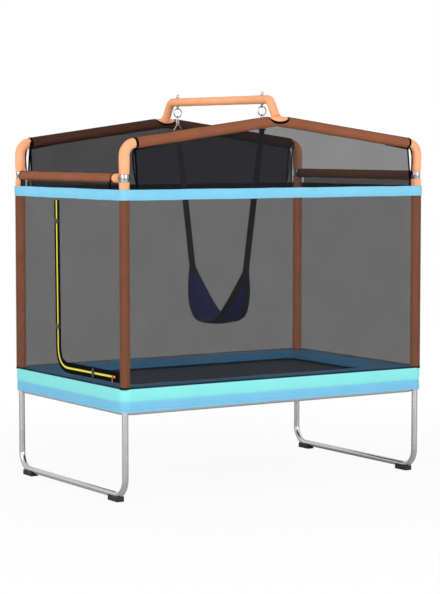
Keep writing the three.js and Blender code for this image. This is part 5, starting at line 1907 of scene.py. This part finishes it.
BUCKLES = ((0.0905, 1.376, 0.0), (0.0815, 0.832, 0.0), (-0.290, DOOR_FOOT_Z, math.pi / 2))
half_net, half_door = [], []
for y, z, turn in BUCKLES:
    out = (math.cos(turn), math.sin(turn))
    half_net.append(block((0.0075, 0.0125, 0.0045), 0.003, (y + out[0] * 0.0078, z - out[1] * 0.0078), turn))
    half_door.append(block((0.0075, 0.0115, 0.0042), 0.003, (y - out[0] * 0.0078, z + out[1] * 0.0078), turn))
    for k, target in ((1, half_net), (-1, half_door)):
        lug = (y + k * out[0] * 0.019, z - k * out[1] * 0.019)
        target.append(block((0.0045, 0.0085, 0.0022), 0.002, lug, turn))
piece("buckle_halves_net_side", half_net, [buckle_plastic], "frame", sharp=40)
buckles_door = piece("buckle_halves_door_side", half_door, [buckle_plastic], None, sharp=40)
across_fold(buckles_door)

SLIDER_Y = -0.492
slider_red, tree, shader = new_finish("red_enamelled_slider")
# Die-cast zinc under a baked orange-red enamel, thin at the edges.
shader.inputs["Roughness"].default_value = 0.35
place = add_node(tree, "ShaderNodeTexCoord").outputs["Object"]
wear = add_node(tree, "ShaderNodeTexNoise", {"Vector": place, "Scale": 300, "Detail": 3})
tone = add_node(tree, "ShaderNodeValToRGB", {"Fac": wear.outputs["Fac"]})
tone.color_ramp.elements[0].color = linear("d8361c")
tone.color_ramp.elements[1].color = linear("f4512a")
tree.links.new(tone.outputs["Color"], shader.inputs["Base Color"])


def slider_shapes():
    """The slider's shield, which runs on top of the coil, its bridge, and the pull that hangs from it."""
    x0 = NET_FACE + 0.0031
    shield = []
    for lift, grow in ((0, 0.92), (0.0006, 1.0), (0.0024, 1.0), (0.003, 0.9)):
        outline = [(0.009, 0.0035), (0.0075, 0.006), (-0.0055, 0.006), (-0.009, 0.003)]
        outline += [(-0.009, -0.003), (-0.0055, -0.006), (0.0075, -0.006), (0.009, -0.0035)]
        shield.append([(-(x0 + lift), SLIDER_Y + y * grow, DOOR_FOOT_Z + z * grow) for y, z in outline])
    bridge = ((-0.006, 0.0028), (-0.0045, 0.0042), (0.0045, 0.0042), (0.006, 0.0028))
    bridge = [(-(x0 + lift), SLIDER_Y + y, DOOR_FOOT_Z) for y, lift in bridge]
    pull = []
    for z, half, lift in (
        (0.001, 0.0018, 0.0040),
        (-0.004, 0.0034, 0.0040),
        (-0.010, 0.0036, 0.0038),
        (-0.024, 0.0036, 0.0036),
        (-0.0275, 0.0026, 0.0036),
    ):
        a, b = x0 + lift, x0 + lift + 0.0015
        corners = ((a, -half), (b, -half), (b, half), (a, half))
        pull.append([(-x, SLIDER_Y + y, DOOR_FOOT_Z + z) for x, y in corners])
    return [loft(shield), tube(bridge, 0.0009, (0, 0, 1), sides=10), loft(pull)]


slider = piece("zip_slider_and_pull", slider_shapes(), [slider_red], "zip_slider", sharp=40)
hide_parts("zip_slider")

# ------------------------------------------------------------------ top band
# A light blue woven polyester band sewn round the top of the straight net, lined in black.

BAND_THICK = 0.0025
BAND_OUT = NET_OUT + 0.0003 + BAND_THICK
band_cloth = woven_cloth("light_blue_polyester_band", "7fd0ee", 0.0022, 0.68, 0.05, 0.25, 0.15)


def band_shape():
    """The band as one hoop with rounded corners, two stitched edges and a faint ripple."""
    outline, normals = rounded_outline(CORNER_X + BAND_OUT, CORNER_Y + BAND_OUT, BAND_OUT, (110, 70), 10)
    # Distance out from the outer face, and height, up the outside and down the inside.
    profile = [(-0.0003, 1.4970), (0, 1.4978), (0.0002, 1.5000), (-0.0004, 1.5012), (0.0003, 1.5030)]
    profile += [(0.0004, 1.523), (0.0003, 1.5430), (-0.0004, 1.5448), (0.0002, 1.5462), (0, 1.5482)]
    profile += [(-0.0003, 1.5490), (-0.0021, 1.5490), (-0.0024, 1.5470), (-0.0024, 1.523)]
    profile += [(-0.0024, 1.4990), (-0.0021, 1.4970)]
    materials = [0] * 10 + [1] * 6
    run = np.concatenate([[0], np.cumsum(np.linalg.norm(np.diff(outline, axis=0), axis=1))])
    sections = []
    for (x, y), (nx, ny), s in zip(outline, normals, run):
        ripple = 0.0005 * math.sin(s * 13.0) + 0.0003 * math.sin(s * 37.0 + 1)
        sections.append([(x + nx * out, y + ny * out, z + ripple) for out, z in profile])
    return hoop(sections, materials)


band = piece("net_top_band", [band_shape()], [band_cloth, black_webbing], "frame", sharp=50)
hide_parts("top_band")
